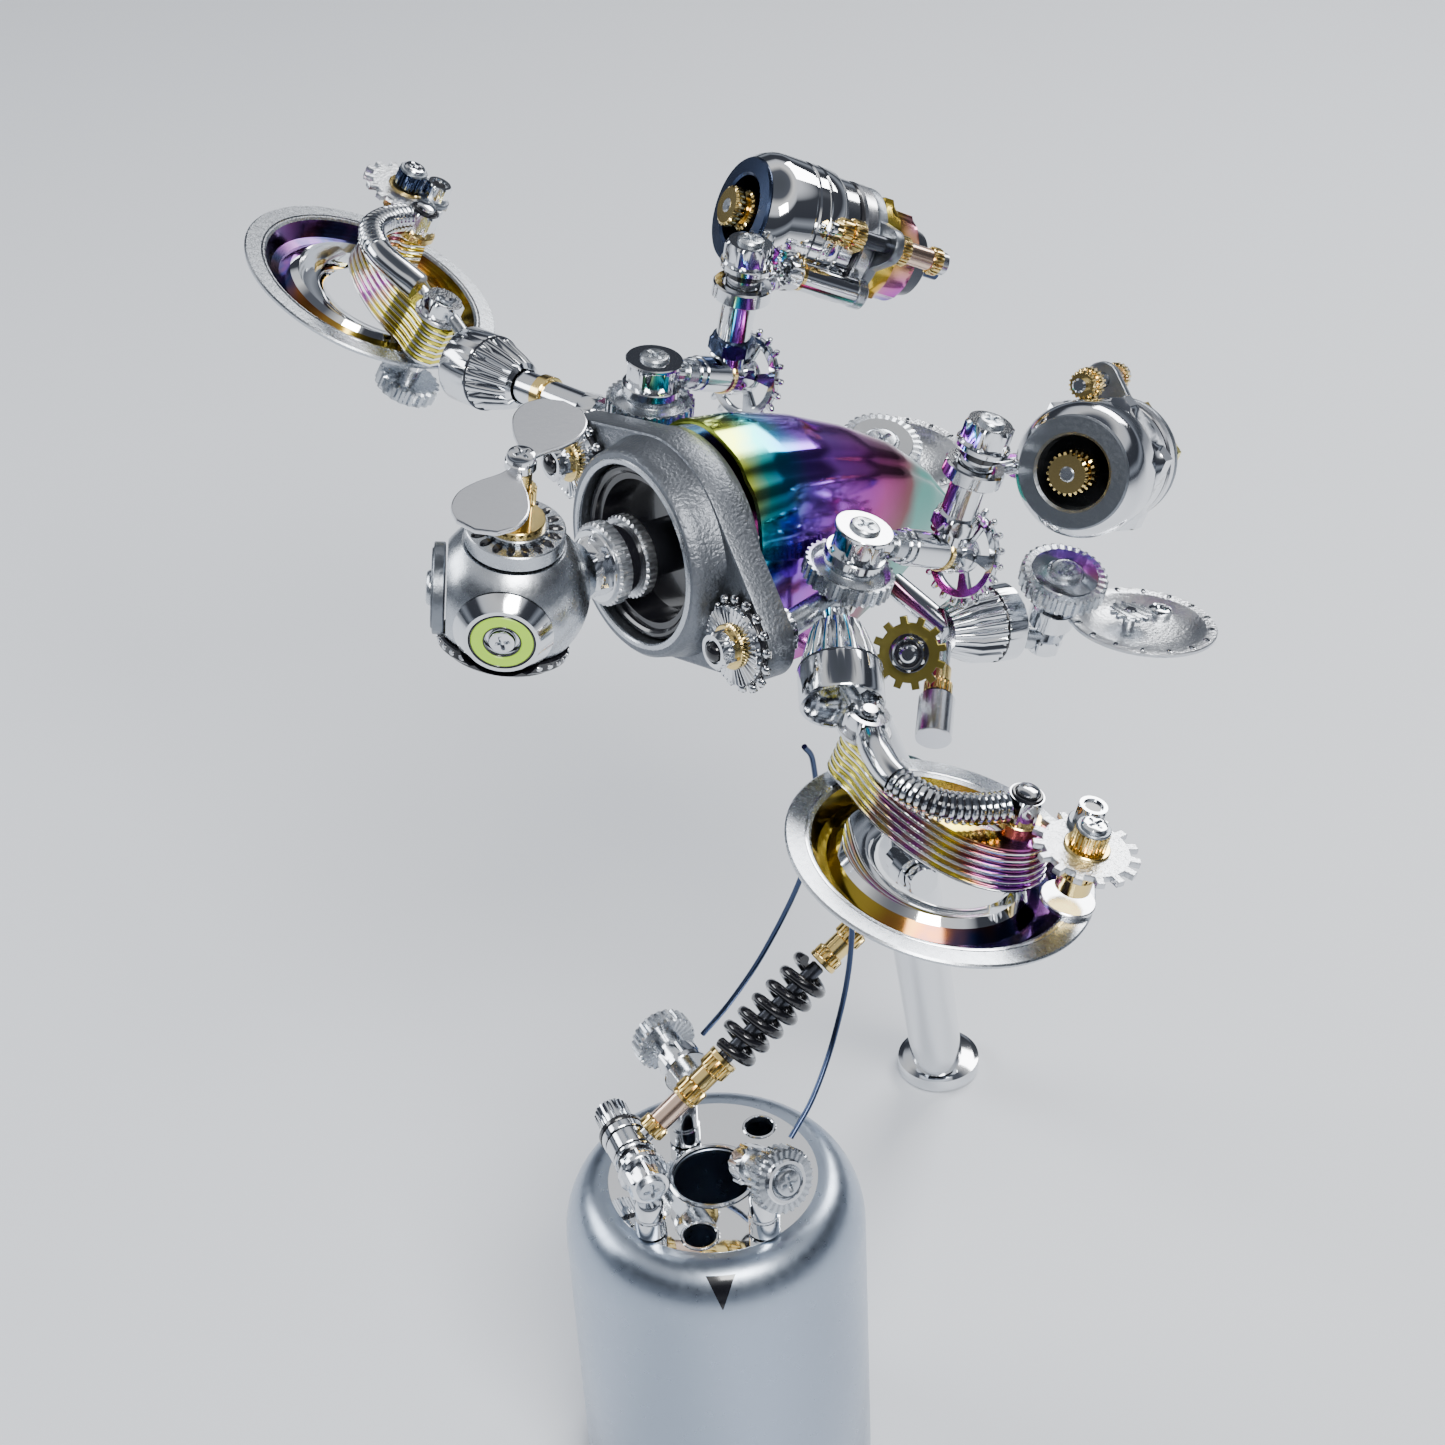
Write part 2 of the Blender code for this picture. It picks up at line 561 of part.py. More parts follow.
def make_thruster_arm(side, arm):
    up = Vector(arm["up"]).normalized()
    elbow = Vector(arm["elbow"]).normalized()
    riser = Vector(arm["riser"]).normalized()
    seat = Vector(arm["shoulder"])
    start = seat + 6.6 * up
    hub = seat + 5.0 * up + elbow * arm["reach"]
    swivel = pivot_empty(f"{side}_shoulder_axis", frame(seat, up))
    nut = turned(f"{side}_elbow_arm", stacked([
        (2.2, 9.4, 10.0), (5.4, 8.4, 9.4), (4.3, 4.4, 8.4), (5.4, 2.7, 4.4)]), frame(seat, up), "chrome",
        swivel)
    tube_at, tube_length = along(start, hub - elbow * 1.2)
    combine(nut, turned(f"{side}_elbow_tube", stacked([
        (3.9, tube_length - 3.0, tube_length), (3.4, 12.0, tube_length - 3.0), (2.0, 3.0, 12.0)]),
        tube_at))
    wheel_at = frame(hub, elbow, riser)
    spin = pivot_empty(f"{side}_wheel_axis", wheel_at)
    spokes = 5
    windows = [window_outline(3.4, 6.6, 360 / spokes * i + 12, 360 / spokes * (i + 1) - 12)
               for i in range(spokes)]
    wheel = as_mesh(plate(f"{side}_spoked_wheel", gear_outline(8.0, 9.8, 12), 1.4, wheel_at, "chrome",
                          spin, holes=windows))
    combine(wheel, turned(f"{side}_wheel_hub", stacked([(2.4, -0.5, 2.6)]), wheel_at))
    root = hub - elbow * 5.5
    combine(nut, turned(f"{side}_riser_seat", stacked([(2.8, 0.0, 5.2)]), frame(root, riser)))
    turned(f"{side}_riser_post", stacked([
        (2.2, arm["rise"] + 4.0, arm["rise"] + 4.8), (4.4, arm["rise"], arm["rise"] + 4.0),
        (5.0, arm["rise"] - 1.2, arm["rise"]), (3.7, arm["rise"] - 2.8, arm["rise"] - 1.2),
        (3.3, 8.6, arm["rise"] - 2.8), (4.0, 5.5, 8.6)]), frame(root, riser), "chrome", swivel)
    return swivel, root + riser * arm["rise"], riser


def window_outline(inner, outer, start, end):
    return arc_points((0, 0), outer, start, end, 5) + arc_points((0, 0), inner, end, start, 4)


def make_thruster(side, arm, top, riser):
    """Nozzle-like thruster carried beside the riser's top by an eye and a link."""
    forward = Vector(arm["forward"]).normalized()
    face = Vector(arm["face"])
    swivel = pivot_empty(f"{side}_thruster_axis", frame(top, riser))
    at = frame(face, forward, riser)
    profile = [(0.0, -34.6), (8.4, -30.0), (8.4, -6.0), (6.4, -3.0), (7.2, 0.0), (10.2, -0.6),
               (THRUSTER_RADIUS, -4.0), (THRUSTER_RADIUS, -16.5), (11.4, -17.0), (11.4, -20.0),
               (10.8, -20.2), (10.8, -22.0), (11.4, -22.2), (11.4, -26.0), (9.6, -29.0), (9.2, -35.0),
               (6.5, -39.5), (1.6, -40.5), (0.8, -46.0), (0.0, -46.0)]
    shell = turned(f"{side}_thruster_body", profile, at, "chrome", swivel, segments=14)
    eye = frame(top, riser)
    combine(shell, turned(f"{side}_carrier_eye", ring_profile(3.7, 5.6, -7.4, -4.4), eye, segments=14,
                          ring=True))
    wall = face - 11.0 * forward
    middle = shifted(eye, z=-5.9).translation / MM
    reach = middle - wall
    side_way = (reach - reach.dot(forward) * forward).normalized()
    link_at, length = along(wall + 10.4 * side_way, middle)
    combine(shell, turned(f"{side}_carrier_link", stacked([(1.4, 0.0, length - 4.6)]), link_at))
    turned(f"{side}_thruster_core", stacked([
        (3.9, 0.6, 3.0), (2.6, -0.6, 0.6), (3.9, -4.0, -0.6), (2.0, -32.6, -4.0)]), at, "brass", swivel)


def make_arms(body):
    for side, arm in THRUSTER_ARMS.items():
        make_shoulder(side, arm, body)
        _, top, riser = make_thruster_arm(side, arm)
        make_thruster(side, arm, top, riser)


# ---------------------------------------------------------------- front scoops

FRONT_SCOOPS = {
    # dish centre and normal, hinge point, mirror sign, bell start and end
    "near": dict(centre=(48.5, 17.8, 180.3), normal=(0.163, 0.19, 0.969), hinge=(27.5, 19.7, 197.9),
                 mirror=1, bell=((4.4, 31.0, 204.1), (20.4, 19.5, 195.5)), neck=((2.4, 2.2, 5.0), (4.2, 5.0, 7.2))),
    "far": dict(centre=(-131.2, 19.4, 219.8), normal=(0.30, 0.35, 0.89), hinge=(-107.6, 21.3, 226.6),
                mirror=-1, bell=((-53.6, 27.4, 216.6), (-97.0, 19.8, 215.1)),
                neck=((2.4, 0.0, 6.0), (4.2, 6.0, 10.0), (3.2, 10.0, 20.0), (3.8, 20.0, 22.5),
                      (3.2, 22.5, 30.0))),
}


def scoop_frame(spec):
    centre = Vector(spec["centre"])
    return frame(centre, spec["normal"], Vector(spec["hinge"]) - centre)


def make_front_scoop(side, spec):
    at = scoop_frame(spec)
    flip = spec["mirror"]
    hinge_at = shifted(at, HINGE_X)
    swing = pivot_empty(f"{side}_scoop_axis", hinge_at)
    bolt = turned(f"{side}_scoop_hinge_bolt", stacked([
        (1.6, 14.0, 15.0), (3.8, 10.6, 14.0), (4.7, 9.9, 10.6), (1.8, -5.2, 9.9), (6.4, -8.6, -5.2),
        (2.6, -10.0, -8.6)]), hinge_at, "chrome")
    start, mouth = Vector(spec["bell"][0]), Vector(spec["bell"][1])
    inside = mouth - 1.0 * (mouth - start).normalized() + 3.2 * Vector(spec["normal"])
    link_at, reach = along(inside, shifted(hinge_at, z=12.4).translation / MM)
    combine(bolt, turned(f"{side}_hinge_link", stacked([(1.4, 0.0, reach)]), link_at))
    rim = DISH_RADIUS - DISH_RIM
    dish = turned(f"{side}_scoop_dish", [
        (DISH_RADIUS, 0.0), (DISH_RADIUS, -0.9), (rim, -0.9), (20.5, -4.4), (18.0, -4.4), (14.4, -1.4),
        (11.4, -3.4), (10.6, -2.8), (14.2, -0.2), (18.4, -3.4), (20.1, -3.4), (rim, 0.0)],
        at, "chrome", swing, segments=20, ring=True)
    combine(dish, turned(f"{side}_dish_drill", stacked([(2.3, -8.0, 4.0)]), hinge_at), "DIFFERENCE")
    gear_x, gear_y = GEAR_AT[0], GEAR_AT[1] * flip
    column_at = shifted(at, gear_x, gear_y)
    combine(dish, turned(f"{side}_gear_column", stacked([
        (1.8, 9.6, 10.4), (3.2, 3.4, 9.6), (4.0, 2.6, 3.4), (2.8, -0.5, 2.6)]), column_at))
    plates = as_mesh(plate(f"{side}_laminated_claw", claw_outline(flip), 8.2, shifted(at, z=4.9),
                           "rainbow_titanium", swing, holes=[circle(2.3, 12, (HINGE_X, 0.0))]))
    combine(plates, turned(f"{side}_claw_nut", stacked([
        (2.9, 15.0, 16.2), (3.3, 10.3, 15.0), (3.8, 8.8, 10.3)]), shifted(at, -6.0, -9.4 * flip)))
    route = [(18.6, 3.4, 12.8), (15.0, 5.6, 13.2), (9.6, 7.4, 13.2), (4.6, 7.2, 13.2), (0.0, 5.2, 13.2),
             (-3.0, 1.4, 13.2), (-4.6, -2.4, 13.2), (-5.4, -5.4, 13.2)]
    tube(f"{side}_flex_hose", [(x, y * flip, z) for x, y, z in smooth_path(route, 2)], 2.9, "satin_steel",
         swing, at=at, resolution=2)
    spin = pivot_empty(f"{side}_gear_axis", column_at)
    gear_at = shifted(column_at, z=11.4)
    gear = as_mesh(plate(f"{side}_star_gear", gear_outline(7.8, 9.3, 12), 1.2, gear_at, "chrome", spin))
    combine(gear, turned(f"{side}_gear_nuts", stacked([(2.2, 5.0, 5.8), (3.0, -0.6, 5.0)]), gear_at))
    combine(gear, turned(f"{side}_crank_nut", stacked([(2.4, 2.0, 5.0), (3.2, -0.5, 2.0)]),
                         shifted(gear_at, 4.2, -4.2 * flip)))
    bell_at, length = along(*spec["bell"])
    turned(f"{side}_front_bell", bell_profile(length, spec["neck"]), bell_at, "chrome",
           segments=14)


def bell_profile(length, neck):
    """Collars of the neck, then the fluted bell with its mouth at the far end."""
    collars = []
    for radius, low, high in reversed(neck):
        collars += [(radius, high), (radius, low)]
    return [(0.0, length - 5.0), (5.4, length - 5.0), (6.6, length), (7.4, length), (7.4, length - 8.0),
            (4.4, length - 16.0), *collars, (0.0, neck[0][1])]


CLAW = (  # x, y of the spine and the half width there, from the hinge eye to the pad
    (27.8, -1.5, 1.6), (25.5, -0.8, 3.9), (22.5, -0.3, 4.4), (18.5, 1.0, 3.4), (13.5, 2.6, 3.0),
    (8.0, 3.0, 2.8), (2.0, 2.4, 2.8), (-4.0, 0.6, 2.9), (-8.0, -2.6, 3.2), (-9.5, -6.5, 4.0),
    (-8.5, -10.0, 4.6), (-6.5, -13.4, 2.4))


def claw_outline(flip):
    """Hooked band from the hinge eye round the dish to a broad pad under the claw nut."""
    left, right = [], []
    for i, (x, y, half) in enumerate(CLAW):
        before = CLAW[max(i - 1, 0)]
        after = CLAW[min(i + 1, len(CLAW) - 1)]
        across = Vector((before[1] - after[1], after[0] - before[0])).normalized() * half
        left.append((x + across.x, (y + across.y) * flip))
        right.append((x - across.x, (y - across.y) * flip))
    return left + right[::-1]


# ---------------------------------------------------------------- rear scoops

REAR_SCOOPS = {
    # pivot and its axis, dish centre and normal, then the arm: root on the hull in the body frame,
    # bell start, bell mouth and bell radius
    "near": dict(pivot=(9.3, 81.1, 190.3), axis=(0.27, 0.03, 0.96), centre=(17.5, 94.2, 179.6),
                 normal=(-0.02, 0.18, 0.98), root=(11.8, -15.5, -47.5), bell=(-1.6, 61.0, 182.0),
                 mouth=(0.6, 75.2, 179.4), radius=7.4),
    "far": dict(pivot=(-45.0, 81.8, 194.9), axis=(0.30, -0.03, 0.95), centre=(-52.0, 93.0, 186.6),
                normal=(0.10, 0.10, 0.98), root=(-3.0, -23.9, -49.0), bell=(-37.0, 72.0, 183.5),
                mouth=(-41.0, 75.4, 182.9), radius=5.4),
}


def make_rear_scoop(side, spec, body):
    axis = Vector(spec["axis"]).normalized()
    at = frame(spec["pivot"], axis)
    column = turned(f"{side}_rear_pivot", stacked([
        (2.8, 1.8, 2.8), (8.2, -1.8, 1.8), (4.4, -4.6, -1.8), (1.8, -14.0, -4.6), (3.4, -17.4, -14.0)]),
        at, "satin_steel", segments=12)
    foot = Vector(spec["pivot"]) - 15.7 * axis
    radius = spec["radius"]
    bell_at, length = along(spec["bell"], spec["mouth"])
    combine(column, turned(f"{side}_rear_bell", [
        (0.0, length - 3.0), (radius - 1.8, length - 3.0), (radius - 0.8, length), (radius, length),
        (radius, length * 0.4), (radius * 0.6, 0.0), (0.0, 0.0)], bell_at, segments=14))
    root = shifted(body, *spec["root"]).translation / MM
    hub = Vector(spec["bell"]).lerp(Vector(spec["mouth"]), 0.1)
    for name, radius, ends in (("root", 2.4, (root, hub)), ("link", 2.2, (hub, foot))):
        rod_at, length = along(*ends)
        combine(column, turned(f"{side}_rear_{name}", stacked([(radius, 0.0, length)]), rod_at))
    swing = pivot_empty(f"{side}_rear_axis", at)
    dish_at = frame(spec["centre"], spec["normal"])
    dish = turned(f"{side}_rear_dish", [
        (0.0, -2.2), (9.0, -2.0), (REAR_DISH_RADIUS - 2.4, 0.0), (REAR_DISH_RADIUS, 0.2),
        (REAR_DISH_RADIUS, -0.7), (REAR_DISH_RADIUS - 2.2, -1.0), (9.0, -3.1), (0.0, -3.3)],
        dish_at, "chrome", swing, segments=16)
    combine(dish, turned(f"{side}_rear_eye", stacked([(4.4, -10.6, -6.2)]), at))
    combine(dish, turned(f"{side}_rear_drill", stacked([(2.2, -16.0, -4.0)]), at), "DIFFERENCE")


def make_belly(body):
    """Dark sprocket and short cylinder on bolts under the near flank."""
    at = frame((8.4, 44.6, 189.5), (0.62, -0.62, 0.48))
    wheel = as_mesh(plate("belly_sprocket", gear_outline(5.6, 6.8, 11), 1.4, at, "gunmetal"))
    combine(wheel, turned("belly_bolt", stacked([(1.8, 3.4, 4.2), (3.0, -0.6, 3.4)]), at))
    seat = body.inverted() @ at.translation / MM
    stem = [(7.0, -22.8, -31.0), (15.0, -23.2, -31.0), (22.0, -24.5, -31.0), (27.0, -22.0, -31.0), seat]
    combine(wheel, as_mesh(tube("belly_stem", stem, 1.5, at=body)))
    turned("belly_cylinder", stacked([(3.4, 0.0, 9.0), (2.4, -7.0, 0.0), (1.8, -12.5, -7.0)]),
           frame((9.4, 50.2, 177.3), (0.62, -0.62, -0.3)), "chrome")


def build():
    for old in list(bpy.data.objects):
        bpy.data.objects.remove(old)
    body = body_frame()
    make_canister()
    make_posts()
    make_base_bolts()
    make_strut()
    make_support()
    make_wires()
    make_housing(body)
    make_hood(body)
    make_ear_sprockets(body)
    make_head(body)
    make_arms(body)
    for side, spec in FRONT_SCOOPS.items():
        make_front_scoop(side, spec)
    for side, spec in REAR_SCOOPS.items():
        make_rear_scoop(side, spec, body)
    make_belly(body)


build()
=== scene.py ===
"""Looks of the model flying craft: detailed hardware in place of the plain CAD pieces.

Shapes are made in millimetres in the same local frames as the CAD, and become metres when an
object is made.
"""

import math

import bmesh
import bpy
from mathutils import Matrix, Vector


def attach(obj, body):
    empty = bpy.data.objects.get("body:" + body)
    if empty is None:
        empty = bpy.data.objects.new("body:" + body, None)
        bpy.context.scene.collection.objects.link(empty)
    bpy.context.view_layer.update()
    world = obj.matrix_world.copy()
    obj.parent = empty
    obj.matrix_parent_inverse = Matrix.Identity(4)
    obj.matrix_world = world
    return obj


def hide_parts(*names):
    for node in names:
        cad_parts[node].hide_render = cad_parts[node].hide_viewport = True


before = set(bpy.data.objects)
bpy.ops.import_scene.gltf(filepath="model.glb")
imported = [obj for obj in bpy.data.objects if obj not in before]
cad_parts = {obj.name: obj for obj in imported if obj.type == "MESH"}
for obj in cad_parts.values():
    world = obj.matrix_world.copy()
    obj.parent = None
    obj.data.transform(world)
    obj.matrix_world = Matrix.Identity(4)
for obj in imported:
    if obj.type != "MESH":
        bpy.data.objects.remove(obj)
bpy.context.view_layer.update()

MM = 0.001
ROOT = "stand_and_hull"
SIDES = (("near", 1), ("far", -1))


# ---------------------------------------------------------------- local frames

def frame(origin, z_axis, x_hint=(1.0, 0.0, 0.0)):
    z = Vector(z_axis).normalized()
    x = Vector(x_hint)
    x = (x - x.dot(z) * z).normalized()
    matrix = Matrix((x, z.cross(x), z)).transposed().to_4x4()
    matrix.translation = Vector(origin) * MM
    return matrix


def shifted(matrix, x=0.0, y=0.0, z=0.0):
    return matrix @ Matrix.Translation(Vector((x, y, z)) * MM)


def along(start, end):
    span = Vector(end) - Vector(start)
    return frame(start, span, (0.0, 0.0, 1.0)), span.length


def place(x=0.0, y=0.0, z=0.0, turn=0.0):
    """Matrix in millimetres inside a kit: a shift and a turn about z."""
    return Matrix.Translation((x, y, z)) @ Matrix.Rotation(math.radians(turn), 4, "Z")


def local(kit_at, world_matrix):
    inside = kit_at.inverted() @ world_matrix
    inside.translation = inside.translation / MM
    return inside


# ---------------------------------------------------------------- materials

def ramp(nodes, stops):
    node = nodes.new("ShaderNodeValToRGB")
    points = node.color_ramp.elements
    while len(points) < len(stops):
        points.new(0.5)
    for point, (position, colour) in zip(points, stops):
        point.position = position
        point.color = (*colour, 1.0)
    return node


def metal(name, colour, roughness, metallic=1.0, grain=60.0, bump=0.0, spread=0.06, coat=0.0):
    """Principled metal with fine noise in its roughness and, if asked, in its surface."""
    made = bpy.data.materials.new(name)
    made.use_nodes = True
    nodes, links = made.node_tree.nodes, made.node_tree.links
    shader = nodes["Principled BSDF"]
    shader.inputs["Base Color"].default_value = (*colour, 1.0)
    shader.inputs["Metallic"].default_value = metallic
    shader.inputs["Coat Weight"].default_value = coat
    place_node = nodes.new("ShaderNodeTexCoord")
    noise = nodes.new("ShaderNodeTexNoise")
    noise.inputs["Scale"].default_value = grain
    noise.inputs["Detail"].default_value = 3.0
    links.new(place_node.outputs["Object"], noise.inputs["Vector"])
    band = nodes.new("ShaderNodeMapRange")
    band.inputs["To Min"].default_value = max(roughness - spread, 0.02)
    band.inputs["To Max"].default_value = roughness + spread
    links.new(noise.outputs["Fac"], band.inputs["Value"])
    links.new(band.outputs["Result"], shader.inputs["Roughness"])
    if bump:
        raise_node = nodes.new("ShaderNodeBump")
        raise_node.inputs["Strength"].default_value = bump
        raise_node.inputs["Distance"].default_value = 0.0002
        links.new(noise.outputs["Fac"], raise_node.inputs["Height"])
        links.new(raise_node.outputs["Normal"], shader.inputs["Normal"])
    return made


def coloured_by_place(name, axis, low, high, stops, roughness, wobble=0.0, metallic=1.0, grain=120.0):
    """Metal whose colour runs along an axis of the piece's own frame, from low to high mm."""
    made = metal(name, (0.5, 0.5, 0.5), roughness, metallic, spread=0.03)
    nodes, links = made.node_tree.nodes, made.node_tree.links
    shader = nodes["Principled BSDF"]
    place_node = nodes.new("ShaderNodeTexCoord")
    along_axis = nodes.new("ShaderNodeVectorMath")
    along_axis.operation = "DOT_PRODUCT"
    along_axis.inputs[1].default_value = Vector(axis).normalized()
    links.new(place_node.outputs["Object"], along_axis.inputs[0])
    noise = nodes.new("ShaderNodeTexNoise")
    noise.inputs["Scale"].default_value = grain
    links.new(place_node.outputs["Object"], noise.inputs["Vector"])
    mixed = nodes.new("ShaderNodeMath")
    mixed.operation = "MULTIPLY_ADD"
    mixed.inputs[1].default_value = wobble * MM
    links.new(noise.outputs["Fac"], mixed.inputs[0])
    links.new(along_axis.outputs["Value"], mixed.inputs[2])
    band = nodes.new("ShaderNodeMapRange")
    band.inputs["From Min"].default_value = low * MM
    band.inputs["From Max"].default_value = high * MM
    links.new(mixed.outputs["Value"], band.inputs["Value"])
    colours = ramp(nodes, stops)
    links.new(band.outputs["Result"], colours.inputs["Fac"])
    links.new(colours.outputs["Color"], shader.inputs["Base Color"])
    return made


HEAT = ((0.0, (0.03, 0.25, 0.20)), (0.10, (0.14, 0.02, 0.03)), (0.30, (0.34, 0.03, 0.20)),
        (0.52, (0.42, 0.07, 0.55)), (0.74, (0.24, 0.10, 0.68)), (0.84, (0.03, 0.32, 0.66)),
        (0.92, (0.02, 0.55, 0.50)), (1.0, (0.62, 0.74, 0.10)))
PLATES = ((0.0, (0.06, 0.03, 0.10)), (0.22, (0.30, 0.05, 0.45)), (0.45, (0.32, 0.10, 0.08)),
          (0.62, (0.75, 0.62, 0.05)), (0.82, (0.40, 0.08, 0.40)), (1.0, (0.75, 0.65, 0.08)))
TROUGH = ((0.0, (0.05, 0.04, 0.12)), (0.3, (0.16, 0.05, 0.20)), (0.5, (0.02, 0.03, 0.10)),
          (0.7, (0.22, 0.08, 0.03)), (1.0, (0.30, 0.22, 0.03)))
TAIL = ((0.0, (0.02, 0.25, 0.75)), (0.22, (0.15, 0.10, 0.60)), (0.5, (0.50, 0.10, 0.45)),
        (0.72, (0.75, 0.45, 0.05)), (1.0, (0.80, 0.75, 0.15)))

FINISHES = {
    # the piece's finish: maker, and the record's material slot
    "chrome": (lambda n: metal(n, (0.74, 0.76, 0.79), 0.10, spread=0.03), "chrome"),
    "polished": (lambda n: metal(n, (0.93, 0.94, 0.95), 0.04, spread=0.01), "chrome"),
    "satin": (lambda n: metal(n, (0.50, 0.53, 0.57), 0.27, grain=900.0, bump=0.12), "satin_steel"),
    "pale_satin": (lambda n: metal(n, (0.70, 0.71, 0.74), 0.22, grain=900.0, bump=0.06), "satin_steel"),
    "speckled": (lambda n: metal(n, (0.62, 0.64, 0.67), 0.30, grain=1500.0, bump=0.7), "satin_steel"),
    "cast": (lambda n: metal(n, (0.19, 0.205, 0.23), 0.44, grain=1600.0, bump=1.0, spread=0.1),
             "cast_grey"),
    "grey_plate": (lambda n: metal(n, (0.22, 0.24, 0.27), 0.38, grain=1200.0, bump=0.4), "cast_grey"),
    "brass": (lambda n: metal(n, (0.83, 0.62, 0.24), 0.16), "brass"),
    "rose_gold": (lambda n: metal(n, (0.80, 0.58, 0.45), 0.20), "brass"),
    "gunmetal": (lambda n: metal(n, (0.06, 0.065, 0.08), 0.24, metallic=0.8), "gunmetal"),
    "blue_steel": (lambda n: metal(n, (0.05, 0.07, 0.13), 0.26), "gunmetal"),
    "olive": (lambda n: metal(n, (0.13, 0.11, 0.03), 0.34), "gunmetal"),
    "black": (lambda n: metal(n, (0.008, 0.008, 0.011), 0.16, metallic=0.0, coat=0.4), "black_gloss"),
    "lime": (lambda n: metal(n, (0.48, 0.86, 0.03), 0.32, metallic=0.0), "lime_enamel"),
    "can": (lambda n: metal(n, (0.38, 0.44, 0.53), 0.30, grain=500.0, bump=0.10, spread=0.08),
            "satin_steel"),
    "heat": (lambda n: coloured_by_place(n, (-0.12, 0.45, 0.88), -46, 6, HEAT, 0.13, 6),
             "rainbow_titanium"),
    "plates": (lambda n: coloured_by_place(n, (1.0, 0.35, 0.0), -14, 28, PLATES, 0.14, 26),
               "rainbow_titanium"),
    "trough": (lambda n: coloured_by_place(n, (0.9, 0.5, 0.0), -24, 24, TROUGH, 0.12, 30), "chrome"),
    "tail": (lambda n: coloured_by_place(n, (0.5, -0.5, 0.7), -30, -8, TAIL, 0.14, 6), "chrome"),
}
MADE = {}


def finish(name):
    if name not in MADE:
        MADE[name] = FINISHES[name][0](name)
    return MADE[name]


# ---------------------------------------------------------------- shells: (points in mm, faces)

def lofted(rings, closed=False):
    """Shell through rings of points; a ring of one point is a pole."""
    points, faces, starts = [], [], []
    for ring in rings:
        starts.append(len(points))
        points.extend(ring)
    pairs = list(zip(range(len(rings) - 1), range(1, len(rings))))
    if closed:
        pairs.append((len(rings) - 1, 0))
    for a, b in pairs:
        n, m = len(rings[a]), len(rings[b])
        i0, j0 = starts[a], starts[b]
        for i in range(max(n, m)):
            k = (i + 1) % max(n, m)
            if n == 1 and m > 1:
                faces.append((i0, j0 + i, j0 + k))
            elif m == 1 and n > 1:
                faces.append((i0 + i, j0, i0 + k))
            elif n > 1:
                faces.append((i0 + i, j0 + i, j0 + k, i0 + k))
    if not closed:
        for end in (0, len(rings) - 1):
            if len(rings[end]) > 1:
                faces.append(tuple(starts[end] + i for i in range(len(rings[end]))))
    return points, faces


def turned(profile, count=56, closed=False):
    """Solid of revolution from (radius, z) or (radius, z, shape), shape(angle, radius) -> radius."""
    rings = []
    for step in profile:
        radius, z = step[0], step[1]
        if radius <= 1e-6:
            rings.append([(0.0, 0.0, z)])
            continue
        ring = []
        for i in range(count):
            angle = 2 * math.pi * i / count
            reach = step[2](angle, radius) if len(step) > 2 else radius
            ring.append((reach * math.cos(angle), reach * math.sin(angle), z))
        rings.append(ring)
    return lofted(rings, closed)


def hexagon(angle, radius):
    part = math.radians(60)
    return radius * math.cos(part / 2) / math.cos((angle % part) - part / 2)


def notched(teeth, depth):
    def shape(angle, radius):
        wave = math.cos(teeth * angle)
        return radius - depth * (0.5 - 0.5 * max(-1.0, min(1.0, 2.2 * wave)))
    return shape


def cross(angle, radius):
    """Phillips slot: arms of length radius."""
    half = 0.24 * radius
    side = angle % (math.pi / 2)
    side = min(side, math.pi / 2 - side)
    return min(radius / math.cos(side), half / max(math.sin(side), 1e-6))


def washer(radius, low, high, edge=0.18):
    edge = min(edge, (high - low) / 3, radius / 4)
    return turned([(0, high), (radius - edge, high), (radius, high - edge), (radius, low + edge),
                   (radius - edge, low), (0, low)])


def ring(inner, outer, low, high, count=56, edge=0.15):
    return turned([(outer - edge, high), (outer, high - edge), (outer, low + edge), (outer - edge, low),
                   (inner + edge, low), (inner, low + edge), (inner, high - edge), (inner + edge, high)],
                  count, closed=True)


def nut(radius, low, high, bore=0.0):
    """Hexagon nut with both faces chamfered; bore leaves a round recess in the top."""
    cut = 0.10 * radius
    round_face = 0.87 * radius
    profile = [(round_face, high), (radius, high - cut, hexagon), (radius, low + cut, hexagon),
               (round_face, low), (0, low)]
    if bore:
        profile = [(0, high - 0.5), (bore, high - 0.5), (bore + 0.15, high)] + profile
    else:
        profile = [(0, high)] + profile
    return turned(profile, 72)


def knurl(radius, low, high, teeth=24, depth=0.45, bore=0.0):
    edge = min(0.35, (high - low) / 4)
    shape = notched(teeth, depth)
    profile = [(radius - depth - 0.1, high), (radius, high - edge, shape), (radius, low + edge, shape),
               (radius - depth - 0.1, low), (0, low)]
    if bore:
        profile = [(0, high - 0.6), (bore, high - 0.6), (bore + 0.2, high)] + profile
    else:
        profile = [(0, high)] + profile
    return turned(profile, teeth * 6)


def screw_head(radius, low, high):
    """Round head with a Phillips slot."""
    deep = high - min(0.6, 0.6 * (high - low))
    return turned([(0, deep), (0.34 * radius, deep, cross), (0.62 * radius, high - 0.04, cross),
                   (0.72 * radius, high), (0.9 * radius, high - 0.12 * (high - low)),
                   (radius, high - 0.45 * (high - low)), (radius, low), (0, low)], 64)


def bolt_end(radius, low, high):
    return turned([(0, high), (radius * 0.75, high), (radius, high - 0.3), (radius, low), (0, low)], 32)


def dome(radius, low, high):
    steps = [(radius * math.sin(math.radians(15 * i)), low + (high - low) * math.cos(math.radians(15 * i)))
             for i in range(1, 7)]
    return turned([(0, high)] + steps + [(radius, low - 0.01), (0, low - 0.01)], 48)


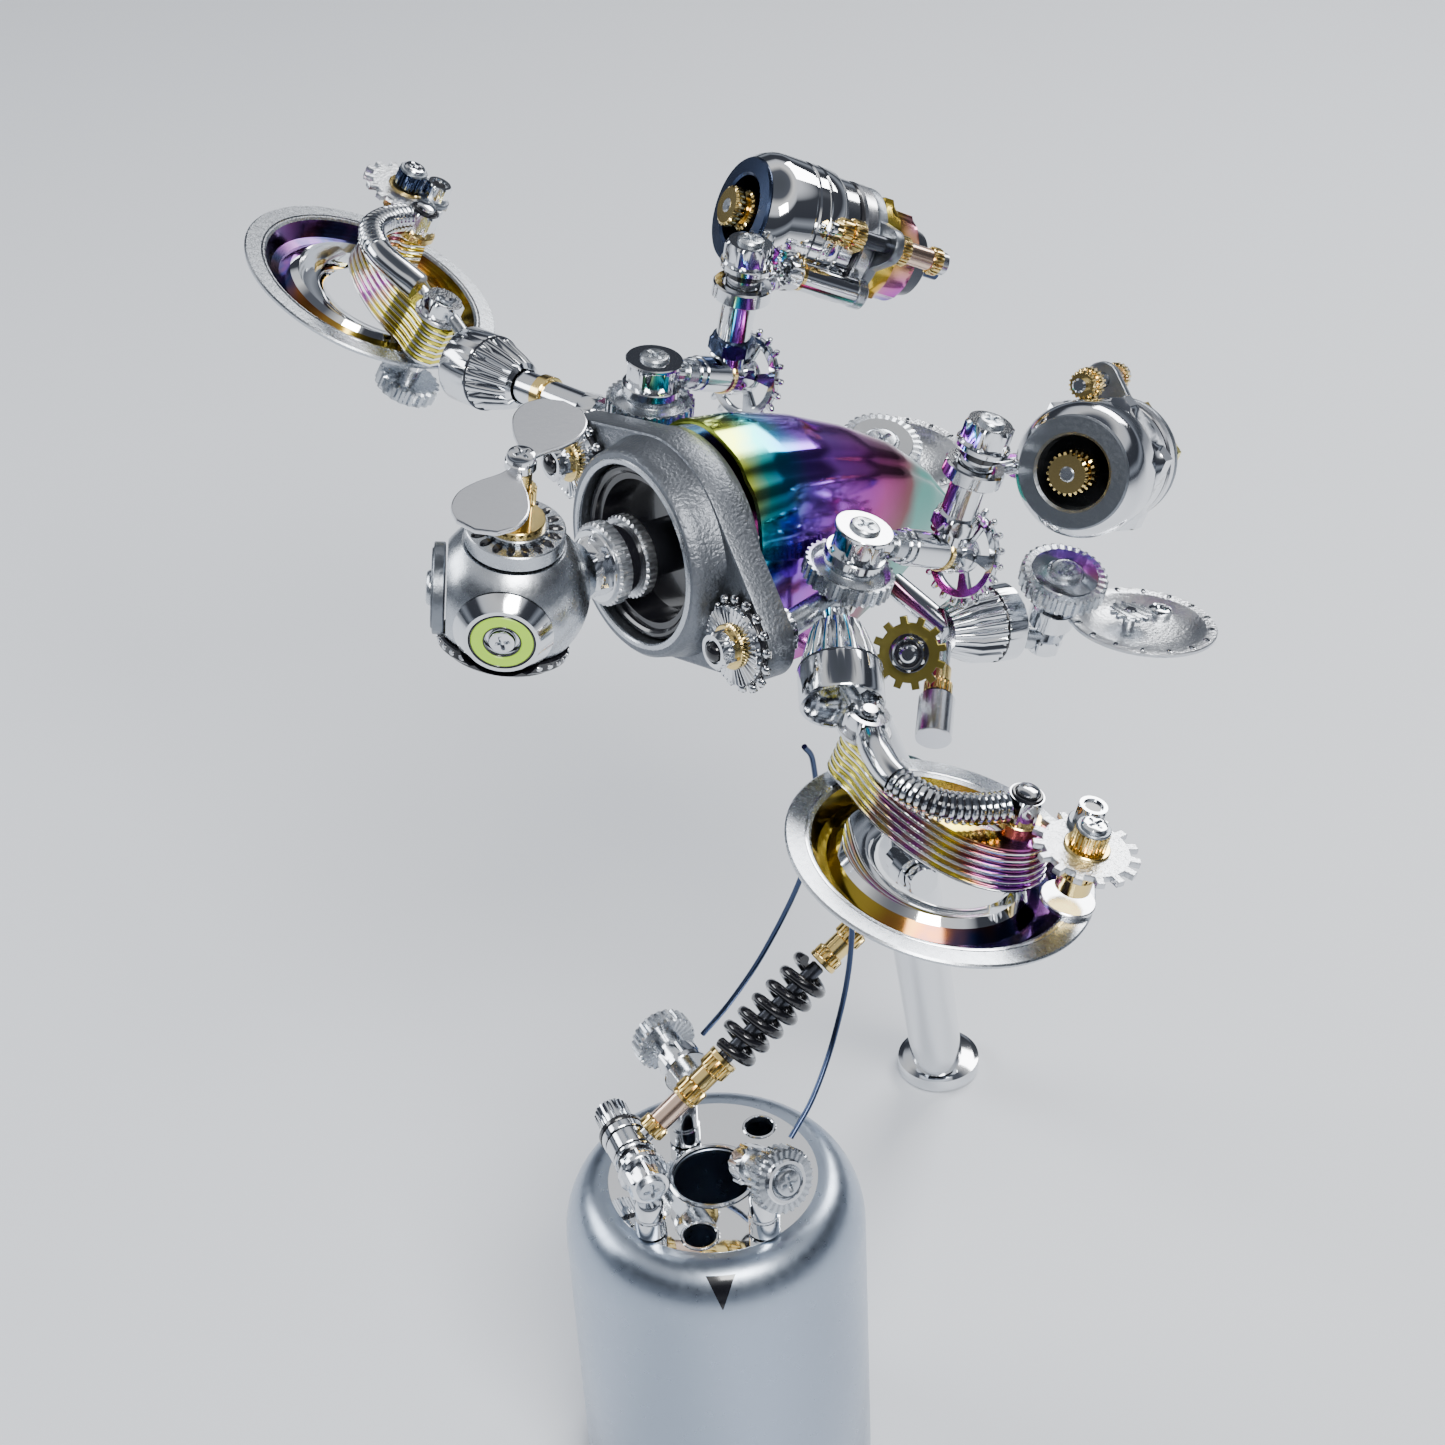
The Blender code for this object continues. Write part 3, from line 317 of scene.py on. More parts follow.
def torus(major, minor, z=0.0, count=48, sides=10):
    rings = []
    for i in range(count):
        a = 2 * math.pi * i / count
        rings.append([((major + minor * math.cos(b)) * math.cos(a),
                       (major + minor * math.cos(b)) * math.sin(a),
                       z + minor * math.sin(b)) for b in (2 * math.pi * j / sides for j in range(sides))])
    return lofted(rings, closed=True)


def plate(outline, low, high, holes=(), edge=0.12):
    """Flat plate with softened edges, from a closed outline and inner outlines."""
    curve = bpy.data.curves.new("plate", "CURVE")
    curve.dimensions = "2D"
    curve.fill_mode = "BOTH"
    curve.extrude = (high - low) / 2 - edge
    curve.bevel_depth = edge
    curve.bevel_resolution = 1
    curve.offset = -edge
    for points in (outline, *holes):
        spline = curve.splines.new("POLY")
        spline.points.add(len(points) - 1)
        for point, (x, y) in zip(spline.points, points):
            point.co = (x, y, 0.0, 1.0)
        spline.use_cyclic_u = True
    holder = bpy.data.objects.new("plate", curve)
    bpy.context.scene.collection.objects.link(holder)
    mesh = bpy.data.meshes.new_from_object(holder.evaluated_get(bpy.context.evaluated_depsgraph_get()))
    middle = (high + low) / 2
    shell = ([(v.co.x, v.co.y, v.co.z + middle) for v in mesh.vertices],
             [tuple(p.vertices) for p in mesh.polygons])
    bpy.data.objects.remove(holder)
    bpy.data.meshes.remove(mesh)
    return shell


def swept(path, radius, sides=14):
    """Round bar along a path; radius is a number or one for each point."""
    places = [Vector(p) for p in path]
    radii = radius if isinstance(radius, (list, tuple)) else [radius] * len(places)
    rings = []
    across = None
    for i, here in enumerate(places):
        ahead = (places[min(i + 1, len(places) - 1)] - places[max(i - 1, 0)]).normalized()
        if across is None:
            across = ahead.orthogonal()
        across = (across - across.dot(ahead) * ahead).normalized()
        other = ahead.cross(across)
        rings.append([tuple(here + radii[i] * (math.cos(a) * across + math.sin(a) * other))
                      for a in (2 * math.pi * j / sides for j in range(sides))])
    return lofted(rings)


def smooth_path(points, steps):
    places = [Vector(p) for p in points]
    places = [2 * places[0] - places[1], *places, 2 * places[-1] - places[-2]]
    path = []
    for a, b, c, d in zip(places, places[1:], places[2:], places[3:]):
        for i in range(steps):
            t = i / steps
            path.append(0.5 * (2 * b + (c - a) * t + (2 * a - 5 * b + 4 * c - d) * t * t
                               + (3 * b - a - 3 * c + d) * t ** 3))
    path.append(places[-2])
    return path


def coil(radius, wire, low, high, turns, steps=28):
    count = turns * steps
    return swept([(radius * math.cos(2 * math.pi * turns * i / count),
                   radius * math.sin(2 * math.pi * turns * i / count),
                   low + (high - low) * i / count) for i in range(count + 1)], wire, 12)


def gear_outline(root, tip, teeth, tooth=0.46, flank=0.05, turn=0.0):
    points = []
    for number in range(teeth):
        for share, radius in ((0.0, root), (flank, tip), (tooth - flank, tip), (tooth, root),
                              (0.5 + tooth / 2, root)):
            angle = 2 * math.pi * (number + share) / teeth + turn
            points.append((radius * math.cos(angle), radius * math.sin(angle)))
    return points


def arc(centre, radius, start, end, count):
    angles = [math.radians(start + (end - start) * i / (count - 1)) for i in range(count)]
    return [(centre[0] + radius * math.cos(a), centre[1] + radius * math.sin(a)) for a in angles]


def circle(radius, count=48, centre=(0.0, 0.0)):
    return arc(centre, radius, 0, 360 - 360 / count, count)


# ---------------------------------------------------------------- kits: the pieces of one CAD node

class Kit:
    """Pieces that stand for one CAD node, one object a finish, in one local frame."""

    def __init__(self, node, body, at):
        self.node, self.body, self.at, self.shells = node, body, at, {}

    def add(self, shell, finish_name, at=None):
        points, faces = shell
        all_points, all_faces = self.shells.setdefault(finish_name, ([], []))
        base = len(all_points)
        all_points.extend((at @ Vector(p)) if at else Vector(p) for p in points)
        all_faces.extend(tuple(base + i for i in face) for face in faces)
        return self

    def stack(self, items, at=None):
        """items: (maker, finish, numbers...) on the z axis."""
        for maker, finish_name, *numbers in items:
            self.add(maker(*numbers), finish_name, at)
        return self

    def done(self, smooth_angle=32):
        made = []
        for finish_name, (points, faces) in self.shells.items():
            mesh = bpy.data.meshes.new(f"{self.node}.{finish_name}")
            mesh.from_pydata([p * MM for p in points], [], faces)
            shape = bmesh.new()
            shape.from_mesh(mesh)
            bmesh.ops.recalc_face_normals(shape, faces=shape.faces)
            shape.to_mesh(mesh)
            shape.free()
            mesh.shade_smooth()
            mesh.set_sharp_from_angle(angle=math.radians(smooth_angle))
            mesh.materials.append(finish(finish_name))
            obj = bpy.data.objects.new(f"{self.node}.{finish_name}", mesh)
            bpy.context.scene.collection.objects.link(obj)
            obj.matrix_world = self.at
            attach(obj, self.body)
            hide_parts(self.node)
            made.append(obj)
        return made


def cut(obj, shell, at):
    """Boolean difference with a hidden cutter, in obj's own frame; applied at once."""
    mesh = bpy.data.meshes.new("cutter")
    mesh.from_pydata([Vector(p) * MM for p in shell[0]], [], shell[1])
    tool = bpy.data.objects.new("cutter", mesh)
    bpy.context.scene.collection.objects.link(tool)
    tool.matrix_world = at
    bpy.context.view_layer.update()
    step = obj.modifiers.new("cut", "BOOLEAN")
    step.operation = "DIFFERENCE"
    step.object = tool
    step.solver = "EXACT"
    bpy.context.view_layer.update()
    result = bpy.data.meshes.new_from_object(obj.evaluated_get(bpy.context.evaluated_depsgraph_get()))
    obj.modifiers.clear()
    obj.data = result
    bpy.data.objects.remove(tool)
    result.set_sharp_from_angle(angle=math.radians(32))


# ---------------------------------------------------------------- stand

CAN_R, CAN_H, CAN_FLAT, CAN_FALL = 30.0, 80.0, 22.0, 13.0
CAN_HOLES = (((11.5, -11.7), 3.2), ((-5.2, 15.5), 2.8))
POSTS = (("post_left", (4.6, -18.3), 88.5), ("post_right", (18.4, -1.2), 90.5),
         ("post_rear", (-11.7, 1.8), 95.2))
LEFT_BOLT = ((-16.6, -12.4, 93.5), (6.1, -18.7, 93.5))
STRUT_FOOT, STRUT_HEAD = (-4.6, -15.7, 93.5), (5.0, 48.0, 135.0)
SUPPORT_FOOT, SUPPORT_TOP = (-63.0, 112.0, 0.0), (-12.0, 58.0, 140.0)


def shoulder_point(angle):
    a = math.radians(angle)
    return CAN_FLAT + (CAN_R - CAN_FLAT) * math.sin(a), CAN_H - CAN_FALL + CAN_FALL * math.cos(a)


def build_canister():
    kit = Kit("base_canister", ROOT, Matrix())
    inner = [(CAN_R - 1.2, 1.2)]
    inner += [(CAN_FLAT + 6.8 * math.sin(math.radians(a)), 67 + 11.8 * math.cos(math.radians(a)))
              for a in range(90, 0, -9)]
    inner += [(CAN_FLAT, 78.8), (7.8, 78.8)]
    outer = [(7.8, 79.6), (8.2, 80.0), (CAN_FLAT, CAN_H)] + [shoulder_point(a) for a in range(6, 91, 6)]
    outer += [(CAN_R, 40.0), (CAN_R, 2.0), (CAN_R - 0.6, 0.6), (CAN_R - 1.6, 0.0), (0.0, 0.0)]
    kit.add(turned([(0.0, 1.2)] + inner + outer, 120), "can")
    can = kit.done(25)[0]
    drill_holes(can)
    lips = Kit("base_canister", ROOT, Matrix())
    lips.add(torus(8.4, 0.55, 80.0, 72), "chrome")
    lips.add(torus(3.5, 0.4, 80.0, 40), "chrome", place(11.5, -11.7))
    lips.add(torus(3.1, 0.35, 80.0, 40), "chrome", place(-5.2, 15.5))
    lips.done()
    flat = Kit("base_canister", ROOT, Matrix())
    flat.add(ring(8.8, 20.8, 79.99, 80.05, 96, 0.02), "polished")
    top = flat.done()[0]
    drill_holes(top)
    marker = Kit("base_canister", ROOT, Matrix())
    marker.add(shoulder_marker(), "black")
    marker.done()


def drill_holes(obj):
    for (x, y), radius in CAN_HOLES:
        cut(obj, turned([(0, 90), (radius, 90), (radius, 70), (0, 70)], 48), shifted(Matrix(), x, y))


def shoulder_marker():
    """Black triangle lying on the canister's shoulder, its tip down."""
    rows = []
    for layer in (0.03, -0.3):
        for i in range(9):
            share = i / 8
            x, z = shoulder_point(26 + 36 * share)
            half = 2.8 * (1 - share) + 0.1
            row = []
            for side in (-1, -0.5, 0, 0.5, 1):
                turn = math.radians(-33.6) + side * half / x
                row.append(((x + layer) * math.cos(turn), (x + layer) * math.sin(turn), z + layer))
            rows.append(row)
    points = [p for row in rows for p in row]
    faces = []
    for i in range(8):
        for j in range(4):
            a = 5 * i + j
            faces += [(a, a + 1, a + 6, a + 5), (a + 45, a + 50, a + 51, a + 46)]
        faces += [(5 * i, 5 * i + 5, 5 * i + 50, 5 * i + 45),
                  (5 * i + 4, 5 * i + 49, 5 * i + 54, 5 * i + 9)]
    faces += [(j, j + 45, j + 46, j + 1) for j in range(4)]
    faces += [(40 + j, 41 + j, 86 + j, 85 + j) for j in range(4)]
    return points, faces


def build_posts():
    for name, (x, y), top in POSTS:
        kit = Kit(name, ROOT, frame((x, y, 0.0), (0, 0, 1)))
        kit.add(turned([(0, top), (2.3, top), (2.8, top - 0.8), (2.8, 85.1), (2.5, 84.9), (2.5, 84.6),
                        (3.1, 84.4), (3.1, 80.7), (2.8, 80.4), (0, 80.3)]), "chrome")
        kit.done()


def build_base_bolts():
    at, _ = along(*LEFT_BOLT)
    kit = Kit("left_anchor_bolt", ROOT, at)
    kit.stack([
        (dome, "chrome", 2.2, 0.8, 0.0), (knurl, "chrome", 3.4, 0.6, 7.0, 20, 0.4),
        (washer, "black", 4.6, 7.0, 8.2), (washer, "chrome", 4.4, 8.2, 10.1),
        (bolt_end, "chrome", 1.7, 10.0, 14.9),
        (washer, "chrome", 4.3, 14.8, 15.6), (washer, "black", 3.6, 15.6, 16.0),
        (nut, "chrome", 3.9, 16.0, 18.8), (washer, "chrome", 4.8, 18.6, 19.8),
        (nut, "chrome", 4.2, 19.8, 24.0),
        (screw_head, "satin", 2.8, 24.0, 25.0)]).done()
    kit = Kit("right_clamp_knob", ROOT, frame((23.0, -1.2, 98.0), (0.93, -0.02, 0.36), (0, 0, 1)))
    kit.stack([
        (screw_head, "satin", 2.8, 2.8, 4.6), (lambda: ring(3.2, 4.4, 2.6, 3.9, edge=0.3), "chrome"),
        (knurl, "satin", 6.5, -0.4, 3.2, 26, 0.5), (washer, "chrome", 4.6, -2.6, -0.4),
        (bolt_end, "satin", 3.2, -8.0, -2.4), (nut, "chrome", 4.3, -11.0, -7.4),
        (bolt_end, "chrome", 1.8, -13.5, -10.8)])
    kit.done()
    kit = Kit("rear_clamp_knob", ROOT, frame((-8.5, 1.5, 100.5), (-0.98, 0.18, 0.0), (0, 0, 1)))
    kit.stack([
        (screw_head, "satin", 2.6, 13.0, 14.4), (knurl, "satin", 6.3, 9.6, 13.2, 26, 0.5),
        (bolt_end, "chrome", 3.2, 5.4, 9.8), (nut, "chrome", 4.5, 1.4, 5.6),
        (washer, "chrome", 4.9, 0.2, 1.6),
        (washer, "satin", 2.6, -3.5, 0.3)]).done()


def build_strut():
    at, length = along(STRUT_FOOT, STRUT_HEAD)
    bolt_axis = Vector(LEFT_BOLT[1]) - Vector(LEFT_BOLT[0])
    lower = Kit("strut_lower_rod", ROOT, at)
    eye = local(at, frame(STRUT_FOOT, bolt_axis))
    lower.add(ring(2.1, 4.3, -2.0, 2.0), "chrome", eye)
    lower.stack([(bolt_end, "chrome", 1.6, 2.8, 5.6), (knurl, "brass", 2.8, 5.0, 7.6, 18, 0.3),
                 (washer, "rose_gold", 2.2, 7.6, 14.5), (washer, "brass", 2.7, 14.0, 14.8),
                 (knurl, "brass", 2.9, 14.8, 18.0, 20, 0.35), (washer, "brass", 2.3, 18.0, 21.5),
                 (knurl, "brass", 3.0, 21.5, 24.6, 22, 0.35), (washer, "brass", 3.2, 24.4, 25.6),
                 (bolt_end, "gunmetal", 1.5, 25.4, 51.0)]).done()
    spring = Kit("strut_spring", ROOT, at)
    spring.add(coil(3.9, 1.1, 27.2, 49.8, 6), "black").done()
    upper = Kit("strut_upper_rod", ROOT, at)
    upper.stack([(washer, "brass", 3.0, 51.5, 52.6), (knurl, "brass", 2.9, 52.4, 54.6, 20, 0.35),
                 (washer, "brass", 2.3, 54.5, 58.0), (knurl, "brass", 2.9, 58.0, 61.0, 20, 0.35),
                 (washer, "rose_gold", 2.2, 61.0, length - 5.4),
                 (bolt_end, "chrome", 1.4, length - 5.5, length - 2.8)])
    strut = (Vector(STRUT_HEAD) - Vector(STRUT_FOOT)).normalized()
    foot = Vector(SUPPORT_FOOT)
    span = Vector(SUPPORT_TOP) - foot
    centre = foot + span.normalized() * (span.length - 5.0)
    reach = centre - Vector(STRUT_HEAD)
    pin = (reach - reach.dot(strut) * strut).normalized()
    upper.add(ring(2.1, 4.3, -2.0, 2.0), "chrome", local(at, frame(STRUT_HEAD, pin)))
    upper.done()


def build_support():
    """Support tube, its foot, the strut's clamp and the hanger up to the keel."""
    foot, top, head = Vector(SUPPORT_FOOT), Vector(SUPPORT_TOP), Vector(STRUT_HEAD)
    up = (top - foot).normalized()
    at, length = along(foot, top)
    tube = Kit("support_tube", ROOT, at)
    tube.add(turned([(6.2, length - 0.4), (6.2, 9.0), (5.9, 8.6), (4.8, 8.6), (4.8, length),
                     (5.9, length)], 72, True),
             "chrome").done()
    base = Kit("support_foot", ROOT, frame(foot, (0, 0, 1)))
    base.add(turned([(0, 4.0), (8.4, 4.0), (9.0, 3.7), (9.9, 3.4), (10.0, 3.1), (10.0, 0.4), (9.7, 0),
                     (0, 0)], 80),
             "chrome")
    base.add(washer(4.3, 3.0, 20.0), "chrome", local(base.at, at)).done()
    centre = foot + up * ((top - foot).length - 5.0)
    strut = (head - Vector(STRUT_FOOT)).normalized()
    reach = centre - head
    pin = (reach - reach.dot(strut) * strut).normalized()
    clamp = Kit("strut_clamp", ROOT, frame(centre, up))
    clamp.add(ring(6.5, 9.0, -4.0, 4.0, 72, 0.4), "chrome")
    pin_at = local(clamp.at, frame(head, pin, (0, 0, 1)))
    clamp.stack([(nut, "chrome", 3.1, 2.4, 7.4), (bolt_end, "chrome", 1.7, -2.4, 2.5),
                 (nut, "chrome", 3.3, -4.8, -2.4)],
                pin_at)
    arm_at, span = along(head + 5.2 * pin, centre)
    clamp.add(washer(2.6, 0.0, span - 7.6), "chrome", local(clamp.at, arm_at)).done()
    keel = shifted(BODY, 0.0, -22.2, -34.0)
    keel_point, below = keel.translation / MM, shifted(keel, 0.0, -6.0).translation / MM
    route = [top + 0.4 * up, top + 6.0 * up, (top + 18.0 * up + keel_point) / 2, below, keel_point]
    hanger = Kit("belly_hanger", ROOT, Matrix())
    hanger.add(swept(smooth_path(route, 14), 4.2, 36), "chrome").done()


def build_wires():
    routes = {
        "stay_wire_rear": [
            (-14.0, 9.2, 102.5), (-11.5, 15.0, 110.0), (-7.9, 21.0, 121.8), (-3.6, 26.9, 138.8),
            (0.0, 28.6, 155.0), (2.2, 26.6, 170.0), (2.7, 24.3, 175.0)],
        "stay_wire_right": [
            (19.4, 5.2, 101.5), (17.4, 12.5, 106.5), (13.9, 20.7, 115.0), (11.9, 26.4, 129.2),
            (9.0, 30.0, 150.0), (4.5, 33.0, 172.0)]}
    for name, route in routes.items():
        kit = Kit(name, ROOT, Matrix())
        kit.add(swept(smooth_path(route, 12), 0.55, 12), "blue_steel").done()


# ---------------------------------------------------------------- craft body

BODY = frame((-22.6, 15.5, 210.2), (0.0, -0.992, 0.124),
             (math.cos(math.radians(16)), 0.0, -math.sin(math.radians(16))))


def flange_outline(radius, ear, half=26.5, steps=28):
    lean = math.degrees(math.acos((radius - ear) / half))
    return (arc((half, 0.0), ear, -lean, lean, steps) + arc((0.0, 0.0), radius, lean, 180 - lean, steps)
            + arc((-half, 0.0), ear, 180 - lean, 180 + lean, steps)
            + arc((0.0, 0.0), radius, 180 + lean, 360 - lean, steps))


def blended_boss():
    """Boss that rises from the plate's outline in a fillet to a round lip."""
    rings = []
    for z, share, lip in ((3.0, 0.93, 20.4), (3.3, 0.80, 20.3), (4.0, 0.50, 20.0), (5.2, 0.18, 19.7),
                          (7.0, 0.0, 19.3), (8.4, 0.0, 19.0), (9.0, 0.0, 18.4)):
        row = []
        for i in range(144):
            a = 2 * math.pi * i / 144
            # the fillet spreads towards the ears but stays clear of their bolt seats
            spread = max(0.0, abs(math.cos(a)) - 0.86) / 0.14
            row.append(((lip - 1.9 * share * spread) * math.cos(a), lip * math.sin(a), z))
        rings.append(row)
    for radius, z in ((16.9, 9.0), (16.5, 8.5), (16.5, 3.0)):
        angles = (2 * math.pi * i / 144 for i in range(144))
        rings.append([(radius * math.cos(a), radius * math.sin(a), z) for a in angles])
    return lofted(rings, closed=True)


def build_housing():
    kit = Kit("flange_housing", ROOT, BODY)
    kit.add(plate(flange_outline(20.9, 7.4), -3.0, 3.0, [circle(16.5, 96)], 0.5), "cast")
    kit.add(blended_boss(), "cast")
    kit.add(ring(16.4, 20.4, -4.6, -3.0, 96), "cast")
    kit.add(ring(16.42, 17.6, 8.6, 9.25, 96, 0.25), "satin")
    kit.done(38)
    neck = Kit("bore_neck", ROOT, BODY)
    neck.add(turned([(0, 0.6), (12.4, 0.6), (13.2, 6.2), (16.1, 6.4), (16.1, -4.4), (0, -4.4)], 96),
             "black")
    neck.add(torus(15.2, 0.9, 6.4, 96), "black")
    neck.stack([(washer, "gunmetal", 5.0, 0.6, 8.0), (knurl, "speckled", 7.6, 8.4, 10.8, 36, 0.4),
                (washer, "black", 6.3, 10.6, 13.2), (knurl, "speckled", 7.6, 13.6, 16.4, 36, 0.4),
                (washer, "chrome", 6.6, 16.4, 17.2), (nut, "chrome", 5.7, 17.0, 19.9)]).done()


def hood_point(back, half, crown, edge, angle, inset=0.0):
    side, lift = math.cos(angle), math.sin(angle)
    x = (half - inset) * math.copysign(abs(side) ** 0.75, side)
    return x, edge + (crown - inset - edge) * lift ** 0.8, -back


def build_hood():
    """Bent tail shell with softened lower edges and a shallow crease along its crown."""
    knots = ((5.6, 20.0, 22.0, -16.0), (14.0, 19.4, 21.5, -19.0), (26.0, 17.2, 18.6, -21.0),
             (38.0, 13.8, 13.8, -21.0), (50.0, 9.6, 7.4, -19.5), (60.0, 5.6, -0.5, -17.0),
             (67.0, 2.6, -8.0, -14.0))
    rows = []
    for a, b in zip(knots, knots[1:]):
        rows += [tuple(p + (q - p) * i / 5 for p, q in zip(a, b)) for i in range(5)]
    rows.append(knots[-1])
    count = 48
    loops = []
    for row in rows:
        outside = []
        inside = []
        for i in range(count + 1):
            angle = math.pi * i / count
            crease = 0.7 * math.exp(-((angle - 1.25) / 0.10) ** 2)
            outside.append(hood_point(*row, angle, crease))
            inside.append(hood_point(*row, angle, 1.0 + crease))
        loops.append(outside + inside[::-1])
    kit = Kit("tail_hood", ROOT, BODY)
    kit.add(lofted(loops), "heat")
    kit.done(50)


def build_keel():
    at = shifted(BODY, 0.0, -19.6, 0.0) @ Matrix.Rotation(math.radians(90), 4, "X")
    kit = Kit("keel_plate", ROOT, at)
    kit.add(plate([(13.0, -5.4), (-13.0, -5.4), (-9.0, -40.0), (-4.5, -52.0), (4.5, -52.0), (9.0, -40.0)],
                  -1.3, 1.3, edge=0.3), "gunmetal")
    kit.done()


def build_ear(side, sign):
    at = shifted(BODY, sign * 26.5, 0.0, 3.3)
    kit = Kit(f"{side}_ear_sprocket", f"{side}_ear_wheel", at)
    kit.add(plate(gear_outline(7.5, 8.9, 16, 0.5, 0.06), 0.0, 1.1, edge=0.25), "black")
    for i in range(16):
        angle = 2 * math.pi * (i + 0.28) / 16
        kit.add(dome(0.95, 0.5, 1.35), "chrome", place(8.1 * math.cos(angle), 8.1 * math.sin(angle)))
    kit.add(grooved_washer(7.2, 3.4, 1.0, 2.3, 40), "chrome")
    kit.stack([(washer, "brass", 4.1, 2.2, 3.1), (nut, "chrome", 3.5, 3.0, 6.2, 2.1),
               (dome, "black", 1.9, 5.9, 7.3), (washer, "black", 6.6, 1.0, 1.7)])
    kit.done()


def grooved_washer(outer, inner, low, high, grooves):
    """Washer with fine radial grooves in its top."""
    rings = []
    count = grooves * 4
    for radius, z in ((outer, low), (outer, high - 0.15), (outer - 0.3, high),
                      (inner + 0.2, high), (inner, high - 0.1), (inner, low)):
        row = []
        for i in range(count):
            a = 2 * math.pi * i / count
            sunk = 0.35 if (i % 4 in (0, 1)) and inner < radius < outer else 0.0
            row.append((radius * math.cos(a), radius * math.sin(a), z - sunk))
        rings.append(row)
    return lofted(rings, closed=True)


def fluted_disc(kit, radius, low, high, count, finish_name="chrome", pad="black"):
    """Disc with raised oval pads round its face."""
    kit.add(washer(radius, low, high), finish_name)
    for i in range(count):
        spin = 360 * i / count
        kit.add(pad_shape(radius * 0.17, radius * 0.085, high - 0.05, high + 0.35), pad,
                place(0, 0, 0, spin) @ place(radius * 0.78))


def pad_shape(long, wide, low, high):
    rings = []
    for scale, z in ((1.0, low), (1.0, (low + high) / 2), (0.7, high)):
        rings.append([(long * scale * math.cos(a), wide * scale * math.sin(a), z)
                      for a in (2 * math.pi * j / 16 for j in range(16))])
    return lofted(rings)


HEAD_SEATS = {
    "head_top_disc": ((0.18, 0.06, 0.98), 3.4), "head_eye_boss": ((0.74, -0.62, -0.10), 3.0),
    "head_side_disc": ((-0.55, -0.82, 0.12), 3.0), "head_studded_disc": ((0.02, -0.28, -0.96), 5.6)}


def build_head():
    at = shifted(BODY, z=34.5)
    centre = at.translation / MM
    seats = {name: frame(centre + Vector(axis).normalized() * (13.9 - cut), axis)
             for name, (axis, cut) in HEAD_SEATS.items()}
    ball = Kit("head_ball", "head", at)
    ball.add(turned([(13.8 * math.sin(math.pi * i / 40), 13.8 * math.cos(math.pi * i / 40))
                     for i in range(41)], 80), "satin")
    made = ball.done(60)[0]
    for seat in seats.values():
        cut(made, turned([(0, 8), (12, 8), (12, 0), (0, 0)], 40), seat)
    top = Kit("head_top_disc", "head", seats["head_top_disc"])
    fluted_disc(top, 8.6, 0.4, 3.4, 18, "satin")
    top.stack([(washer, "satin", 5.6, 3.4, 4.4), (washer, "brass", 5.0, 4.2, 5.6),
               (washer, "brass", 2.5, 5.4, 9.0),
               (knurl, "brass", 3.1, 9.0, 12.2, 22, 0.35), (washer, "brass", 2.1, 12.2, 15.4)]).done()
    eye = Kit("head_eye_boss", "head", seats["head_eye_boss"])
    eye.add(turned([(0, 2.2), (2.9, 2.2), (3.1, 2.45), (5.5, 2.5), (5.8, 3.1), (6.5, 3.1), (6.9, 2.7),
                    (8.6, 0.6),
                    (8.4, 0.4), (0, 0.4)], 80), "chrome")
    eye.add(screw_head(2.4, 2.2, 3.4), "chrome")
    eye.done()
    lime = Kit("head_eye_ring", "head", seats["head_eye_boss"])
    lime.add(ring(3.3, 5.35, 2.6, 3.2, 80), "lime")
    lime.add(ring(5.35, 5.6, 2.6, 3.1, 80, 0.05), "black")
    lime.add(ring(3.05, 3.3, 2.6, 3.1, 80, 0.05), "black").done()
    side = Kit("head_side_disc", "head", seats["head_side_disc"])
    side.stack([(washer, "grey_plate", 8.0, 0.4, 2.4), (lambda: ring(4.4, 7.0, 2.3, 2.7, 72), "cast"),
                (screw_head, "satin", 3.1, 2.4, 3.6)]).done()
    chin = Kit("head_studded_disc", "head", seats["head_studded_disc"])
    made_disc = chin_disc(chin)
    for obj in made_disc:
        for name, radius in (("head_eye_boss", 9.0), ("head_side_disc", 8.4)):
            cut(obj, turned([(0, 12), (radius, 12), (radius, 0), (0, 0)], 48), seats[name])
    spin_at = shifted(seats["head_top_disc"], z=15.8)
    blades = Kit("propeller", "propeller", spin_at)
    edge = smooth_path([(2.3, 1.2, 0), (4.5, 2.2, 0), (8.0, 4.6, 0), (12.0, 6.2, 0), (16.0, 5.8, 0),
                        (19.0, 3.6, 0)], 6)
    one = [(p.x, -p.y) for p in edge] + [(20.0, 0.0)] + [(p.x, p.y) for p in reversed(edge)]
    outline = []
    for turn in (-55, 125):
        a = math.radians(turn)
        outline += [(x * math.cos(a) - y * math.sin(a), x * math.sin(a) + y * math.cos(a)) for x, y in one]
    blades.add(plate(outline, 0.1, 1.1, edge=0.25), "pale_satin")
    blades.stack([(washer, "chrome", 2.7, 0.1, 1.8), (screw_head, "chrome", 2.5, 1.7, 3.2)]).done()


def chin_disc(kit):
    kit.add(turned([(0, 4.0), (9.0, 4.0), (9.6, 3.6), (9.8, 2.8), (11.0, 2.6), (11.4, 2.2), (11.4, 0.7),
                    (11.1, 0.4), (0, 0.4)], 80), "black")
    for i in range(22):
        kit.add(pad_shape(1.0, 0.5, 3.9, 4.2), "pale_satin", place(0, 0, 0, 360 * i / 22) @ place(8.0))
    for i in range(30):
        outward = place(0, 0, 0, 12 * i) @ place(11.3, 0, 1.5) @ Matrix.Rotation(math.radians(90), 4, "Y")
        kit.add(pad_shape(0.5, 0.65, 0.0, 0.35), "pale_satin", outward)
    kit.add(screw_head(2.6, 3.9, 4.2), "satin")
    return kit.done()


# ---------------------------------------------------------------- thruster arms

